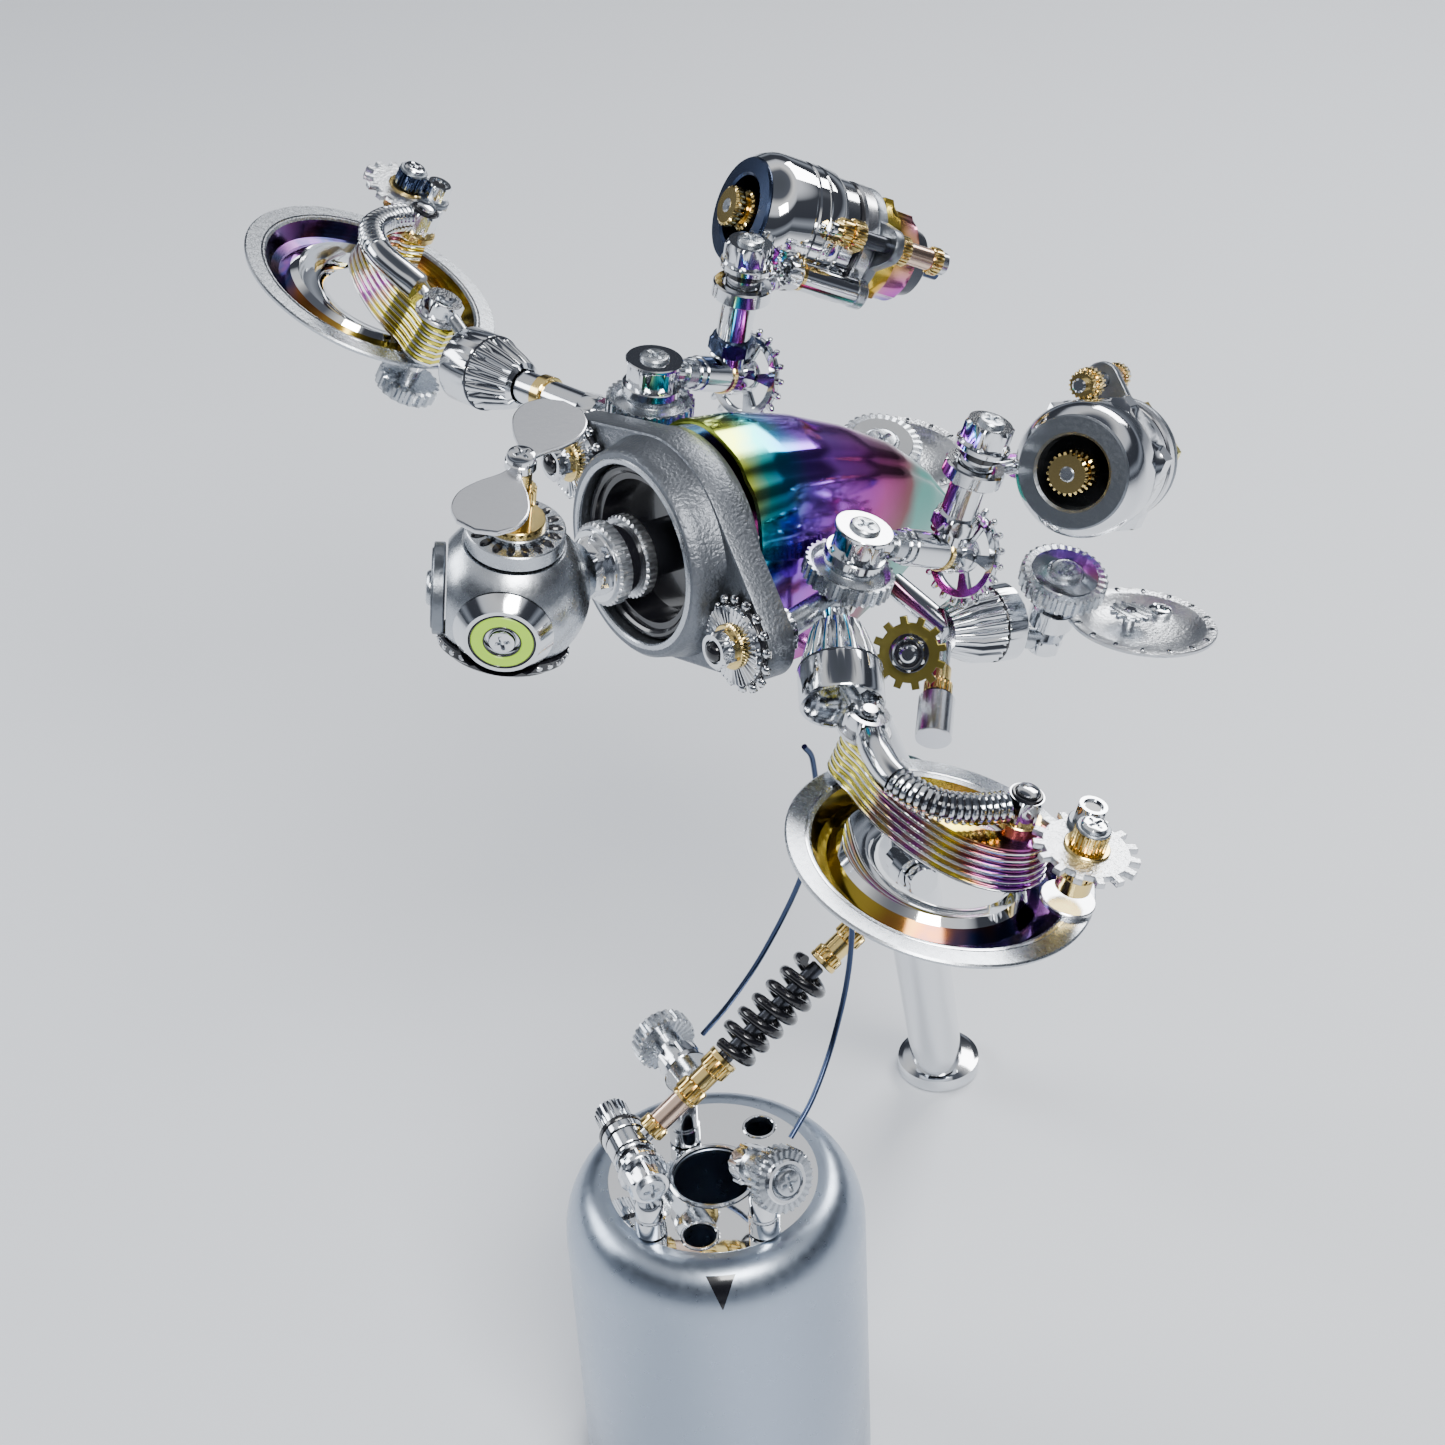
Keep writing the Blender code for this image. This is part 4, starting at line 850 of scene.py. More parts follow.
ARMS = {
    "near": dict(shoulder=(2.6, 35.6, 207.9), up=(0.20, 0.25, 0.95), elbow=(-0.023, 0.905, -0.425),
                 reach=28.0,
                 riser=(0.163, 0.259, 0.952), rise=23.5, face=(18.6, 73.7, 220.3),
                 forward=(0.411, -0.829, 0.379),
                 bolt_turn=36, bolt_low=-36.0, face_finish="grey_plate", tail="tail"),
    "far": dict(shoulder=(-49.9, 31.0, 221.6), up=(0.09, 0.12, 0.99), elbow=(-0.151, 0.922, -0.357),
                reach=26.0,
                riser=(0.134, 0.154, 0.979), rise=24.4, face=(-61.5, 61.9, 247.0),
                forward=(-0.243, -0.845, 0.476),
                bolt_turn=297, bolt_low=-38.0, face_finish="blue_steel", tail="tail")}


def build_shoulder(side, arm, sign):
    up = Vector(arm["up"]).normalized()
    seat = Vector(arm["shoulder"])
    at = frame(seat, up)
    kit = Kit(f"{side}_shoulder_disc", ROOT, at)
    kit.add(turned([(0, 1.4), (4.6, 1.4), (5.0, 1.0), (6.6, 0.4), (7.4, 1.2), (8.3, 1.2, notched(30, 0.5)),
                    (8.3, -2.0, notched(30, 0.5)), (7.6, -2.1), (0, -2.0)], 180), "satin")
    kit.stack([(washer, "chrome", 5.0, 1.2, 2.3), (washer, "gunmetal", 5.3, -2.8, -1.9),
               (nut, "chrome", 3.9, -7.2, -2.8)])
    ear_back = shifted(BODY, sign * 26.5, 0.0, -3.3)
    kit.add(nut(5.0, -2.6, -0.1), "chrome", local(at, ear_back))
    bracket, length = along(shifted(ear_back, z=-1.8).translation / MM, seat - up * 4.8)
    kit.add(washer(2.4, 0.0, length), "satin", local(at, bracket))
    kit.done()


def build_arm(side, arm):
    up = Vector(arm["up"]).normalized()
    elbow = Vector(arm["elbow"]).normalized()
    riser = Vector(arm["riser"]).normalized()
    seat = Vector(arm["shoulder"])
    hub = seat + 5.0 * up + elbow * arm["reach"]
    at = frame(seat, up)
    kit = Kit(f"{side}_elbow_arm", f"{side}_arm", at)
    kit.stack([(washer, "chrome", 5.6, 2.7, 4.4), (nut, "chrome", 4.9, 4.2, 8.4),
               (washer, "gunmetal", 4.6, 8.2, 8.8),
               (washer, "chrome", 5.4, 8.6, 9.4), (screw_head, "satin", 2.8, 9.3, 10.2)])
    tube_at, length = along(seat + 6.6 * up, hub - elbow * 1.2)
    inside = local(at, tube_at)
    kit.stack([(washer, "chrome", 2.0, 3.0, 8.0), (washer, "satin", 2.7, 7.5, 10.5),
               (washer, "chrome", 3.1, 10.4, 12.2),
               (washer, "chrome", 3.4, 12.0, length - 6.0), (nut, "chrome", 4.0, length - 3.2, length),
               (washer, "brass", 3.7, length - 6.2, length - 5.0),
               (washer, "chrome", 3.5, length - 5.2, length - 3.0)],
              inside)
    root = hub - elbow * 5.5
    root_at = frame(root, riser)
    kit.add(washer(2.8, 0.0, 5.2), "chrome", local(at, root_at))
    kit.done()
    post = Kit(f"{side}_riser_post", f"{side}_arm", root_at)
    rise = arm["rise"]
    collar = "blue_steel" if side == "far" else "chrome"
    post.stack([(nut, collar, 4.5, 5.5, 8.6), (washer, "chrome", 3.3, 8.4, rise - 2.6),
                (washer, "black", 3.8, rise - 2.8, rise - 1.2), (washer, "chrome", 5.0, rise - 1.2, rise),
                (nut, "chrome", 4.7, rise, rise + 4.0), (screw_head, "satin", 2.5, rise + 3.9, rise + 4.9)])
    face = Vector(arm["face"])
    forward = Vector(arm["forward"]).normalized()
    post.done()
    wheel_at = frame(hub, elbow, riser)
    wheel = Kit(f"{side}_spoked_wheel", f"{side}_wheel", wheel_at)
    windows = []
    for i in range(5):
        low, high = 72 * i + 12, 72 * (i + 1) - 12
        windows.append(arc((0, 0), 6.6, low, high, 14) + arc((0, 0), 3.4, high, low, 10))
    wheel.add(plate(circle(8.2, 80), -0.7, 0.7, windows, 0.2), "chrome")
    for i in range(20):
        wheel.add(peg(), "chrome", place(0, 0, 0, 18 * i))
    wheel.stack([(washer, "chrome", 3.0, -0.9, 1.2), (bolt_end, "satin", 2.0, 1.0, 2.6)]).done()
    return root + riser * rise, riser, face, forward


def peg():
    """Rounded peg that stands out of a wheel's rim."""
    places = [(7.9, 0, 0), (8.8, 0, 0), (9.4, 0, 0), (9.7, 0, 0), (9.8, 0, 0)]
    return swept(places, [0.7, 0.7, 0.6, 0.35, 0.05], 10)


def build_thruster(side, arm, top, riser, face, forward):
    at = frame(face, forward, riser)
    kit = Kit(f"{side}_thruster_body", f"{side}_thruster", at)
    kit.add(turned([(6.4, -3.0), (6.7, -0.4), (7.2, 0.0), (10.0, -0.2), (10.3, -0.6), (10.0, -3.0),
                    (8.4, -3.2),
                    (8.4, -20.0), (8.0, -20.0), (7.8, -3.2)], 96, closed=True), arm["face_finish"])
    bell = [(8.4, -3.0), (10.3, -0.9), (11.4, -2.2), (12.1, -3.8), (12.3, -5.0), (12.3, -9.6),
            (12.0, -9.9), (12.0, -10.4)]
    if side == "near":
        bell += [(12.2, -10.6), (13.8, -11.2, hexagon), (13.8, -15.4, hexagon), (12.0, -16.0)]
    else:
        bell += [(12.3, -10.7), (12.3, -12.4), (11.8, -12.6), (11.8, -13.0), (12.3, -13.2), (12.3, -15.8),
                 (11.9, -16.5)]
    bell += [(11.2, -17.0), (9.0, -17.0), (8.4, -16.8)]
    kit.add(turned(bell, 96, closed=True), "polished" if side == "far" else "chrome")
    kit.add(ring(8.4, 11.4, -20.2, -17.0, 96, 0.3), "chrome")
    kit.add(torus(10.6, 0.7, -20.9, 80), "black")
    kit.add(ring(8.2, 11.5, -24.4, -21.4, 96, 0.4), "pale_satin")
    kit.add(turned([(0, -24.4), (11.2, -24.4), (11.4, -24.8), (11.4, -26.2), (11.0, -26.6), (0, -26.6)],
                   96), "grey_plate")
    kit.add(nut(11.2, -30.6, -26.4), arm["tail"])
    kit.add(turned([(0, -30.4), (9.4, -30.4), (9.4, -31.2, hexagon), (9.3, -35.0, hexagon), (8.4, -35.8),
                    (0, -35.8)], 72),
            arm["tail"])
    kit.add(turned([(0, -35.6), (7.4, -35.6), (6.4, -39.4), (5.8, -39.9), (0, -40.0)], 72), "gunmetal")
    kit.stack([(washer, "brass" if side == "near" else "chrome", 3.2, -41.0, -39.8),
               (bolt_end, "blue_steel", 1.6, -46.0, -41.0)])
    kit.add(turned([(0, -24.2), (8.2, -24.2), (8.2, -20.0), (0, -20.0)], 48), "black")
    side_bolt(kit, arm)
    carrier(kit, side, arm, at, top, riser)
    kit.done()
    core = Kit(f"{side}_thruster_core", f"{side}_thruster", at)
    core.stack([(bolt_end, "satin", 1.5, 2.6, 3.0), (knurl, "brass", 3.9, 0.6, 2.8, 22, 0.4),
                (washer, "brass", 2.6, -0.6, 0.6),
                (knurl, "brass", 3.9, -4.0, -0.6, 22, 0.4), (washer, "gunmetal", 2.0, -20.0, -4.0)]).done()


def side_bolt(kit, arm):
    """Through bolt beside the nozzle, held by a lug of the rear plate."""
    low = arm["bolt_low"]
    turn = arm["bolt_turn"]
    where = place(0, 0, 0, turn) @ place(14.6)
    kit.stack([(bolt_end, "chrome", 1.3, -13.5, -11.6), (knurl, "brass", 2.6, -16.0, -13.4, 18, 0.3),
               (knurl, "brass", 3.0, -18.6, -16.0, 20, 0.3), (washer, "gunmetal", 1.6, -24.8, -18.4),
               (knurl, "brass", 2.9, -29.0, -26.6, 20, 0.3), (washer, "rose_gold", 2.1, low + 3.4, -28.8),
               (knurl, "brass", 2.7, low + 1.4, low + 3.6, 18, 0.3),
               (washer, "pale_satin", 2.2, low, low + 1.6)], where)
    lug = arc((14.6, 0.0), 3.4, -80, 80, 16) + [(8.0, 5.4), (8.0, -5.4)]
    kit.add(plate(lug, -26.5, -24.6, edge=0.2), "grey_plate", place(0, 0, 0, turn))


def carrier(kit, side, arm, at, top, riser):
    """Eye round the riser and a ribbed link that hold the thruster."""
    forward = Vector(arm["forward"]).normalized()
    eye = frame(top, riser)
    kit.add(ring(3.7, 5.6, -7.4, -4.4, 64, 0.3), "chrome", local(at, eye))
    wall = Vector(arm["face"]) - 11.0 * forward
    middle = shifted(eye, z=-5.9).translation / MM
    reach = middle - wall
    sideways = (reach - reach.dot(forward) * forward).normalized()
    link, length = along(wall + 10.4 * sideways, middle)
    inside = local(at, link)
    kit.add(washer(1.5, 0.0, length - 4.6), "chrome", inside)
    for i in range(3):
        kit.add(washer(2.3, 1.8 + 1.7 * i, 2.9 + 1.7 * i), "pale_satin", inside)
    if side == "far":
        tube_at = place(0, 0, 0, 255) @ place(14.6)
        kit.stack([(washer, "chrome", 2.7, -22.0, -10.0), (washer, "brass", 2.8, -10.4, -9.4),
                   (nut, "chrome", 3.2, -9.4, -6.8, 1.6), (washer, "satin", 2.9, -24.0, -21.8)], tube_at)


# ---------------------------------------------------------------- front scoops

SCOOPS = {
    "near": dict(centre=(48.5, 17.8, 180.3), normal=(0.163, 0.19, 0.969), hinge=(27.5, 19.7, 197.9), flip=1,
                 bell=((4.4, 31.0, 204.1), (20.4, 19.5, 195.5)), neck=((2.4, 2.2, 5.0), (4.2, 5.0, 7.2))),
    "far": dict(centre=(-131.2, 19.4, 219.8), normal=(0.30, 0.35, 0.89), hinge=(-107.6, 21.3, 226.6),
                flip=-1,
                bell=((-53.6, 27.4, 216.6), (-97.0, 19.8, 215.1)),
                neck=((2.4, 0.0, 6.0), (4.2, 6.0, 10.0), (3.2, 10.0, 20.0), (3.8, 20.0, 22.5),
                      (3.2, 22.5, 30.0)))}
HINGE_X = 23.6
GEAR_AT = (-18.6, -12.3)
CLAW = ((27.8, -1.5, 1.6), (25.5, -0.8, 3.9), (22.5, -0.3, 4.4), (18.5, 1.0, 3.4), (13.5, 2.6, 3.0),
        (8.0, 3.0, 2.8), (2.0, 2.4, 2.8), (-4.0, 0.6, 2.9), (-8.0, -2.6, 3.2), (-9.5, -6.5, 4.0),
        (-8.5, -10.0, 4.6), (-6.5, -13.4, 2.4))


def claw_outline(flip, grow=0.0):
    spine = smooth_path(CLAW, 4)
    left, right = [], []
    for i, point in enumerate(spine):
        before, after = spine[max(i - 1, 0)], spine[min(i + 1, len(spine) - 1)]
        across = Vector((before.y - after.y, after.x - before.x)).normalized() * (point.z + grow)
        left.append((point.x + across.x, (point.y + across.y) * flip))
        right.append((point.x - across.x, (point.y - across.y) * flip))
    return left + right[::-1]


def dish_shell(flip):
    """Round rim, then eccentric trough and crescent lip round an open middle."""
    def loop(radius, x, y, z):
        return [(x + radius * math.cos(a), (y + radius * math.sin(a)) * flip, z)
                for a in (2 * math.pi * i / 96 for i in range(96))]
    rings = [loop(27.0, 0, 0, -0.3), loop(26.7, 0, 0, 0.0), loop(22.9, 0, 0, 0.0), loop(22.4, 0, 0, -0.4),
             loop(20.4, 0.2, 0.2, -3.2), loop(18.6, 0.4, 0.3, -3.4), loop(17.0, 0.9, 0.3, -1.6),
             loop(16.0, 1.2, 0.2, -0.5),
             loop(13.6, 1.4, -1.4, -1.2), loop(12.0, 1.0, -2.6, -2.6), loop(11.4, 1.0, -2.8, -3.6),
             loop(12.2, 1.0, -2.4, -4.0), loop(17.0, 0.8, 0.2, -4.4), loop(20.6, 0.2, 0.2, -4.4),
             loop(22.6, 0, 0, -0.9), loop(26.8, 0, 0, -0.9)]
    return rings


def build_scoop(side, spec):
    flip = spec["flip"]
    centre = Vector(spec["centre"])
    at = frame(centre, spec["normal"], Vector(spec["hinge"]) - centre)
    body = f"{side}_scoop"
    rings = dish_shell(flip)
    dish = Kit(f"{side}_scoop_dish", body, at)
    dish.add(open_band(rings[13:] + rings[:4]), "satin")
    dish.add(open_band(rings[3:7]), "trough")
    dish.add(open_band(rings[6:14]), "polished")
    column = place(GEAR_AT[0], GEAR_AT[1] * flip)
    dish.stack([(washer, "pale_satin", 4.8, 0.0, 1.0), (knurl, "brass", 3.9, 1.0, 3.4, 24, 0.35),
                (washer, "brass", 3.1, 3.2, 6.4), (knurl, "brass", 3.4, 6.4, 9.6, 22, 0.35),
                (bolt_end, "chrome", 1.8, 9.4, 10.4)], column)
    dish.add(ring(23.2, 23.6, 0.0, 0.12, 96, 0.04), "chrome")
    for obj in dish.done(30):
        cut(obj, turned([(0, 4), (2.3, 4), (2.3, -8), (0, -8)], 32), shifted(at, HINGE_X))
    claw = Kit(f"{side}_laminated_claw", body, at)
    for i in range(6):
        low = 0.85 + 1.37 * i
        grow = 0.4 - 0.22 * i
        eye = [circle(2.4, 32, (HINGE_X, 0.0))]
        claw.add(plate(claw_outline(flip, grow), low, low + 0.55, eye, 0.1), "polished")
        claw.add(plate(claw_outline(flip, grow - 0.2), low + 0.5, low + 1.37, eye, 0.1), "plates")
    nut_at = place(-6.0, -9.4 * flip)
    claw.stack([(washer, "brass", 4.0, 8.9, 10.3), (nut, "chrome", 3.5, 10.2, 14.9, 2.1),
                (lambda: torus(2.4, 0.4, 14.9, 40), "black"), (bolt_end, "chrome", 2.0, 14.4, 16.2)],
                nut_at)
    claw.done()
    build_hose(side, body, at, flip)
    build_hinge(side, at, spec)
    build_gear(side, at, flip)
    build_bell(side, spec)


def open_band(rings):
    """Band through rings with no end caps."""
    points, faces = lofted(rings)
    return points, faces[:-2]


def build_hose(side, body, at, flip):
    route = [(18.6, 3.4, 12.8), (15.0, 5.6, 13.2), (9.6, 7.4, 13.2), (4.6, 7.2, 13.2), (0.0, 5.2, 13.2),
             (-3.0, 1.4, 13.2), (-4.6, -2.4, 13.2), (-5.4, -5.4, 13.2)]
    path = smooth_path([(x, y * flip, z) for x, y, z in route], 12)
    kit = Kit(f"{side}_flex_hose", body, at)
    split = len(path) // 3
    kit.add(swept(path[:split + 1], 2.8, 28), "chrome")
    kit.add(swept(path[split:], 2.15, 20), "black")
    lengths = [0.0]
    for a, b in zip(path, path[1:]):
        lengths.append(lengths[-1] + (b - a).length)
    ribs = 17
    start, end = lengths[split], lengths[-1]
    for i in range(ribs):
        target = start + (end - start) * (i + 0.5) / ribs
        k = max(j for j, length in enumerate(lengths) if length <= target)
        k = min(k, len(path) - 2)
        share = (target - lengths[k]) / (lengths[k + 1] - lengths[k])
        spot = path[k].lerp(path[k + 1], share)
        rib = frame(spot, path[k + 1] - path[k], (0, 0, 1))
        rib.translation = spot
        kit.add(torus(2.3, 0.52, 0.0, 32, 8), "chrome", rib)
    kit.done(40)


def build_hinge(side, at, spec):
    hinge = shifted(at, HINGE_X)
    kit = Kit(f"{side}_scoop_hinge_bolt", ROOT, hinge)
    kit.stack([(bolt_end, "chrome", 1.7, 13.8, 15.0), (nut, "chrome", 4.2, 10.6, 14.0, 2.6),
               (washer, "pale_satin", 4.8, 9.8, 10.7), (bolt_end, "chrome", 1.8, -5.3, 10.0),
               (knurl, "satin", 6.4, -8.6, -5.2, 20, 0.7), (bolt_end, "chrome", 2.6, -10.0, -8.5)])
    start, mouth = Vector(spec["bell"][0]), Vector(spec["bell"][1])
    inside = mouth - 1.0 * (mouth - start).normalized() + 3.2 * Vector(spec["normal"])
    link, reach = along(inside, shifted(hinge, z=12.4).translation / MM)
    kit.add(bolt_end(1.4, 0.0, reach), "satin", local(hinge, link))
    kit.done()


def build_gear(side, at, flip):
    gear_at = shifted(at, GEAR_AT[0], GEAR_AT[1] * flip, 11.4)
    kit = Kit(f"{side}_star_gear", f"{side}_gear", gear_at)
    kit.add(plate(gear_outline(7.6, 9.3, 15, 0.48, 0.05), -0.6, 0.6, edge=0.15), "speckled")
    top = "blue_steel" if side == "far" else "brass"
    kit.stack([(washer, "brass", 4.0, 0.5, 1.1), (knurl, top, 3.1, 1.0, 4.6, 22, 0.35),
               (washer, "grey_plate", 3.0, 4.4, 5.0), (screw_head, "chrome", 2.3, 4.9, 5.8)])
    crank = place(4.2, -4.2 * flip)
    kit.stack([(washer, "grey_plate", 3.4, 0.5, 1.5), (nut, "chrome", 2.8, 1.4, 5.0, 1.6),
               (washer, "black", 1.5, 3.9, 4.56)],
              crank)
    kit.done()


def flutes(teeth, depth):
    def shape(angle, radius):
        return radius - depth * (0.5 - 0.5 * math.cos(teeth * angle)) ** 1.6
    return shape


def build_bell(side, spec):
    at, length = along(*spec["bell"])
    kit = Kit(f"{side}_front_bell", ROOT, at)
    for radius, low, high in spec["neck"]:
        maker = nut if radius == 4.2 else washer
        kit.add(maker(radius, low, high), "brass" if radius == 3.8 else "chrome")
    low = length - 16.0
    start = max(high for _, _, high in spec["neck"])
    wavy = flutes(16, 1.3)
    kit.add(turned([(0, length - 5.0), (5.4, length - 5.0), (6.2, length - 1.0), (6.7, length),
                    (7.3, length),
                    (7.5, length - 0.4), (7.5, length - 7.0), (7.3, length - 7.6, flutes(16, 0.5)),
                    (6.6, length - 10.0, wavy), (5.4, low + 2.0, wavy), (4.5, low), (3.6, low - 0.6),
                    (3.4, start - 0.1),
                    (0, start - 0.1)], 160), "chrome")
    kit.add(torus(7.3, 0.22, length - 7.4, 80), "gunmetal")
    kit.done()


# ---------------------------------------------------------------- rear scoops and belly

REAR = {
    "near": dict(pivot=(9.3, 81.1, 190.3), axis=(0.27, 0.03, 0.96), centre=(17.5, 94.2, 179.6),
                 normal=(-0.02, 0.18, 0.98), root=(11.8, -15.5, -47.5), bell=(-1.6, 61.0, 182.0),
                 mouth=(0.6, 75.2, 179.4), radius=7.4),
    "far": dict(pivot=(-45.0, 81.8, 194.9), axis=(0.30, -0.03, 0.95), centre=(-52.0, 93.0, 186.6),
                normal=(0.10, 0.10, 0.98), root=(-3.0, -23.9, -49.0), bell=(-37.0, 72.0, 183.5),
                mouth=(-41.0, 75.4, 182.9), radius=5.4)}


def build_rear(side, spec):
    axis = Vector(spec["axis"]).normalized()
    at = frame(spec["pivot"], axis)
    kit = Kit(f"{side}_rear_pivot", ROOT, at)
    kit.stack([(screw_head, "satin", 3.0, 1.7, 2.8), (knurl, "satin", 8.3, -1.8, 1.8, 30, 0.6),
               (lambda: ring(3.4, 6.4, 1.7, 2.0, 72), "chrome"), (nut, "chrome", 4.6, -4.6, -1.8),
               (bolt_end, "chrome", 1.8, -14.2, -4.5), (nut, "chrome", 3.8, -17.4, -14.0)])
    bell_at, length = along(spec["bell"], spec["mouth"])
    radius = spec["radius"]
    inside = local(at, bell_at)
    wavy = flutes(24, 0.7)
    kit.add(turned([(0, length - 3.0), (radius - 1.8, length - 3.0), (radius - 0.7, length - 0.2),
                    (radius - 0.3, length),
                    (radius, length - 0.4), (radius, length * 0.72), (radius * 0.98, length * 0.66, wavy),
                    (radius * 0.92, length * 0.35, wavy), (radius * 0.6, 0.0), (0, 0)], 192), "chrome",
                    inside)
    kit.add(torus(radius * 0.96, 0.3, length * 0.70, 72), "black", inside)
    root = shifted(BODY, *spec["root"]).translation / MM
    hub = Vector(spec["bell"]).lerp(Vector(spec["mouth"]), 0.1)
    foot = Vector(spec["pivot"]) - 15.7 * axis
    for thick, ends, finish_name in ((2.4, (root, hub), "chrome"), (2.2, (hub, foot), "satin")):
        rod, reach = along(*ends)
        kit.add(washer(thick, 0.0, reach), finish_name, local(at, rod))
    kit.done()
    dish_at = frame(spec["centre"], spec["normal"])
    dish = Kit(f"{side}_rear_dish", f"{side}_rear_scoop", dish_at)
    dish.add(turned([(0, -2.2), (5.0, -2.15), (9.0, -2.0), (10.8, -0.9), (11.8, 0.0), (12.2, 0.15),
                     (14.0, 0.2),
                     (14.2, 0.0), (14.2, -0.5), (14.0, -0.7), (12.0, -1.0), (9.0, -3.1), (0, -3.3)], 96),
                     "speckled")
    for i in range(16):
        dish.add(pad_shape(0.9, 0.5, 0.1, 0.4), "chrome", place(0, 0, 0, 22.5 * i) @ place(13.1))
    if side == "near":
        spot = place(-3.0, -0.4)
        dish.add(plate(gear_outline(3.2, 4.1, 12), 0.2, 1.0, edge=0.1), "satin", spot)
        dish.stack([(bolt_end, "chrome", 1.2, -2.2, 1.4), (screw_head, "chrome", 1.9, 0.9, 1.7)], spot)
        dish.add(screw_head(2.4, -2.1, -0.4), "chrome", place(-3.4, 8.2))
    eye = local(dish_at, at)
    dish.add(ring(2.2, 4.4, -10.6, -6.2, 48), "chrome", eye)
    for obj in dish.done(30):
        cut(obj, turned([(0, -4), (2.2, -4), (2.2, -16), (0, -16)], 32), at)


def build_belly():
    at = frame((8.4, 44.6, 189.5), (0.62, -0.62, 0.48))
    kit = Kit("belly_sprocket", ROOT, at)
    kit.add(plate(gear_outline(5.5, 6.8, 12, 0.5, 0.06), -0.7, 0.7, edge=0.15), "olive")
    kit.stack([(washer, "black", 3.6, 0.6, 1.4), (nut, "chrome", 3.3, 1.3, 3.6, 1.9),
               (lambda: torus(2.2, 0.4, 3.5, 40), "black"),
               (bolt_end, "chrome", 1.5, 3.0, 4.2)])
    stem = [Vector(p) for p in ((7.0, -22.8, -31.0), (15.0, -23.2, -31.0), (22.0, -24.5, -31.0),
                                (27.0, -22.0, -31.0))]
    stem.append(BODY.inverted() @ at.translation / MM)
    kit.add(swept(smooth_path(stem, 6), 1.5, 16), "chrome", local(at, BODY))
    kit.done()
    silver = Kit("belly_cylinder", ROOT, frame((9.4, 50.2, 177.3), (0.62, -0.62, -0.3)))
    silver.stack([(washer, "pale_satin", 3.4, 0.0, 9.0), (washer, "black", 3.0, -0.6, 0.2),
                  (knurl, "brass", 2.7, -3.6, -0.6, 20, 0.3),
                  (washer, "brass", 2.2, -7.0, -3.4), (bolt_end, "chrome", 1.8, -12.5, -6.9)])
    silver.done()


# ---------------------------------------------------------------- floor, light and camera

def floor_material():
    made = bpy.data.materials.new("floor_paper")
    made.use_nodes = True
    nodes, links = made.node_tree.nodes, made.node_tree.links
    shader = nodes["Principled BSDF"]
    shader.inputs["Base Color"].default_value = (0.80, 0.83, 0.88, 1.0)
    shader.inputs["Roughness"].default_value = 0.6
    noise = nodes.new("ShaderNodeTexNoise")
    noise.inputs["Scale"].default_value = 6.0
    band = nodes.new("ShaderNodeMapRange")
    band.inputs["To Min"].default_value = 0.55
    band.inputs["To Max"].default_value = 0.65
    links.new(noise.outputs["Fac"], band.inputs["Value"])
    links.new(band.outputs["Result"], shader.inputs["Roughness"])
    return made


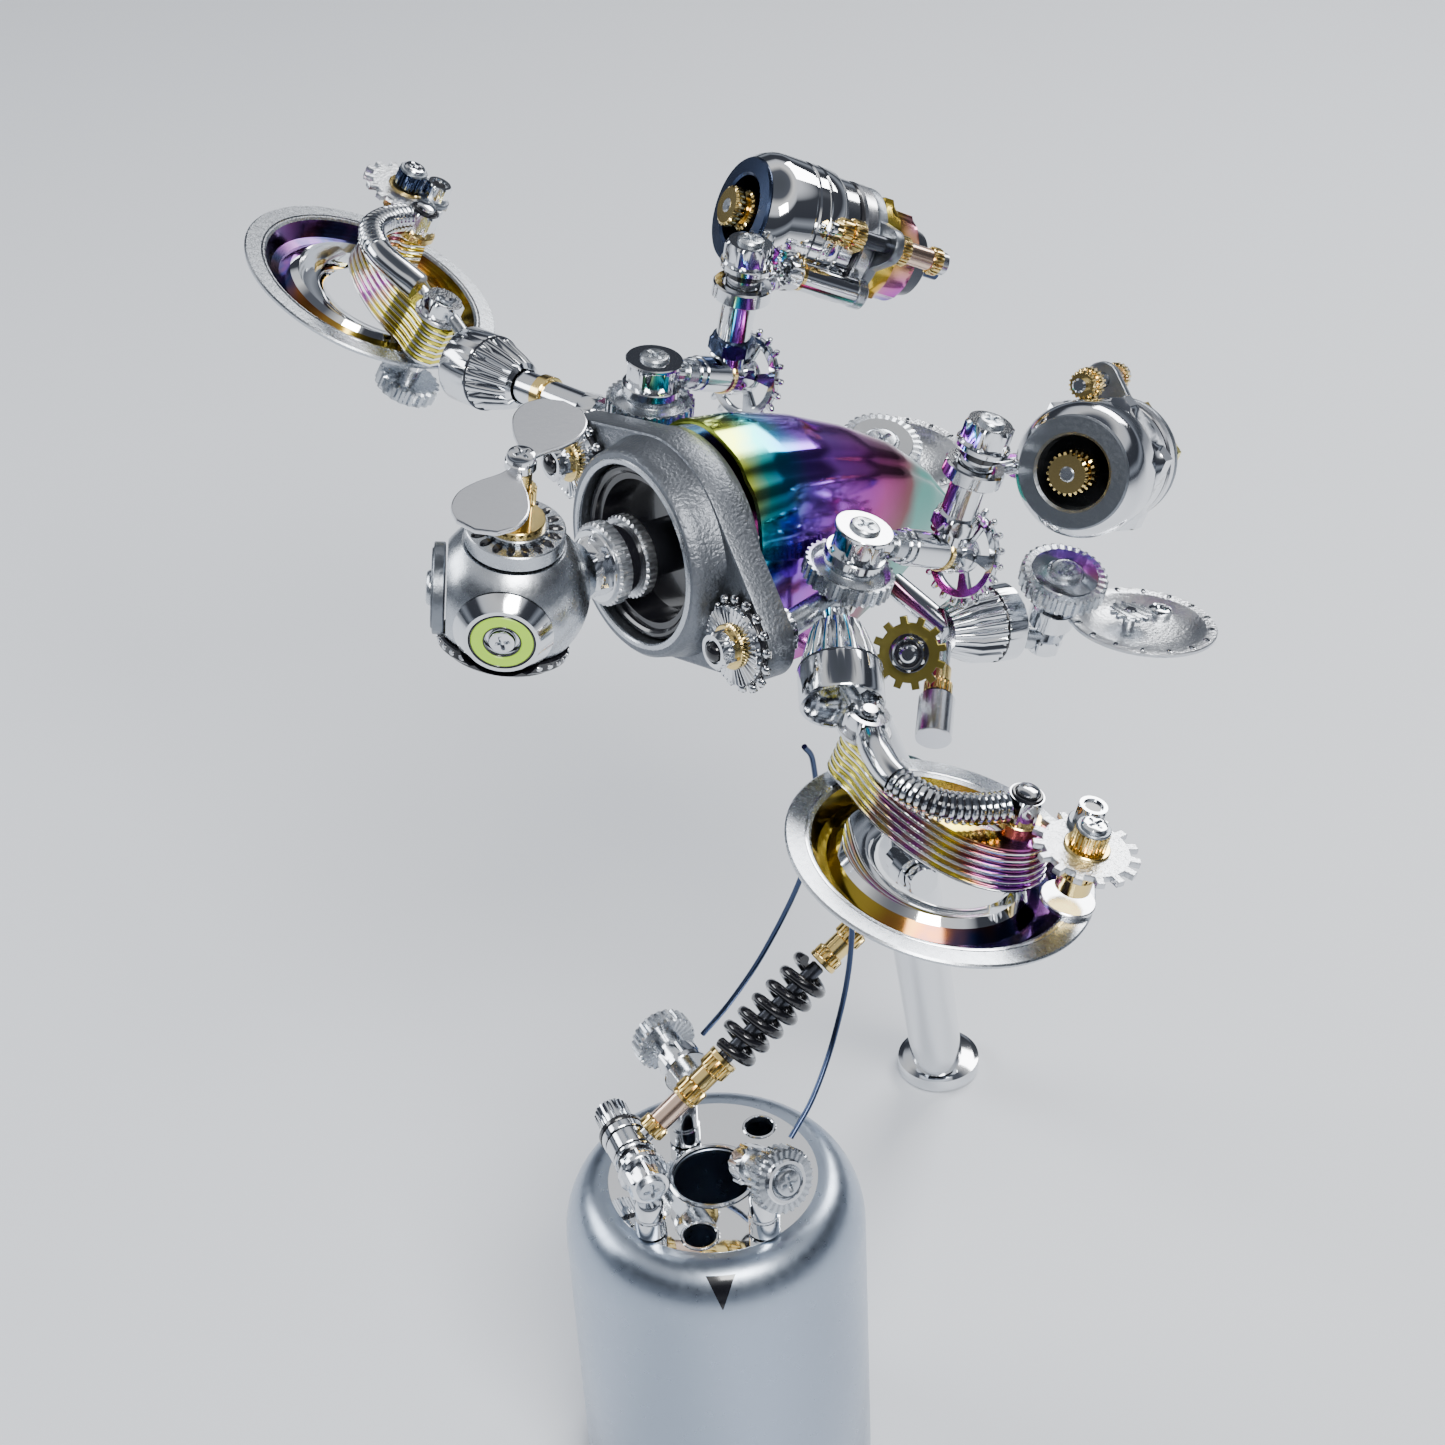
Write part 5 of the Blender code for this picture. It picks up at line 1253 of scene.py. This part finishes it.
def build_stage():
    mesh = bpy.data.meshes.new("studio_floor")
    mesh.from_pydata([(-3, -3, 0), (3, -3, 0), (3, 3, 0), (-3, 3, 0)], [], [(0, 1, 2, 3)])
    floor = bpy.data.objects.new("studio_floor", mesh)
    bpy.context.scene.collection.objects.link(floor)
    floor.location.z = -0.0002
    mesh.materials.append(floor_material())
    world = bpy.data.worlds.new("studio")
    bpy.context.scene.world = world
    world.use_nodes = True
    nodes, links = world.node_tree.nodes, world.node_tree.links
    back = nodes["Background"]
    place_node = nodes.new("ShaderNodeTexCoord")
    parts = nodes.new("ShaderNodeSeparateXYZ")
    links.new(place_node.outputs["Generated"], parts.inputs["Vector"])
    band = nodes.new("ShaderNodeMapRange")
    band.inputs["From Min"].default_value = -1.0
    links.new(parts.outputs["Z"], band.inputs["Value"])
    sky = ramp(nodes, ((0.0, (0.05, 0.05, 0.06)), (0.50, (0.08, 0.09, 0.11)), (0.56, (0.35, 0.38, 0.44)),
                       (0.63, (0.05, 0.055, 0.07)), (0.76, (0.06, 0.065, 0.08)), (0.81, (0.85, 0.88, 0.95)),
                       (0.90, (1.0, 1.0, 1.0)), (0.95, (0.12, 0.13, 0.16)), (1.0, (0.10, 0.11, 0.13))))
    links.new(band.outputs["Result"], sky.inputs["Fac"])
    links.new(sky.outputs["Color"], back.inputs["Color"])
    back.inputs["Strength"].default_value = 0.8
    for name, where, size, energy, colour in (
            ("key", (0.7, -0.2, 1.0), 0.5, 14.0, (1.0, 0.99, 0.97)),
            ("fill", (-0.9, -0.7, 0.7), 0.7, 8.0, (0.93, 0.96, 1.0)),
            ("rim", (-0.3, 0.9, 0.8), 0.6, 9.0, (1.0, 1.0, 1.0))):
        lamp = bpy.data.lights.new(name, "AREA")
        lamp.shape = "RECTANGLE"
        lamp.size, lamp.size_y = size, size * 0.6
        lamp.energy = energy
        lamp.color = colour
        obj = bpy.data.objects.new(name, lamp)
        bpy.context.scene.collection.objects.link(obj)
        obj.location = where
        obj.rotation_euler = (Vector((-0.03, 0.03, 0.15)) - Vector(where)).to_track_quat("-Z",
                                                                                         "Y").to_euler()


def build_camera():
    lens = bpy.data.cameras.new("camera")
    lens.sensor_width = 36.0
    lens.lens = 69.76
    camera = bpy.data.objects.new("camera", lens)
    bpy.context.scene.collection.objects.link(camera)
    right = Vector((0.59910539, 0.79937301, -0.04555803))
    down = Vector((0.44059729, -0.37665502, -0.81486504))
    ahead = Vector((-0.66854078, 0.46811729, -0.57785762))
    matrix = Matrix((right, -down, -ahead)).transposed().to_4x4()
    matrix.translation = Vector((0.33196, -0.22404, 0.47316))
    camera.matrix_world = matrix
    bpy.context.scene.camera = camera


def build():
    build_canister()
    build_posts()
    build_base_bolts()
    build_strut()
    build_support()
    build_wires()
    build_housing()
    build_hood()
    build_keel()
    build_head()
    for side, sign in SIDES:
        build_ear(side, sign)
        build_shoulder(side, ARMS[side], sign)
        build_thruster(side, ARMS[side], *build_arm(side, ARMS[side]))
        build_scoop(side, SCOOPS[side])
        build_rear(side, REAR[side])
    build_belly()
    build_stage()
    build_camera()


build()
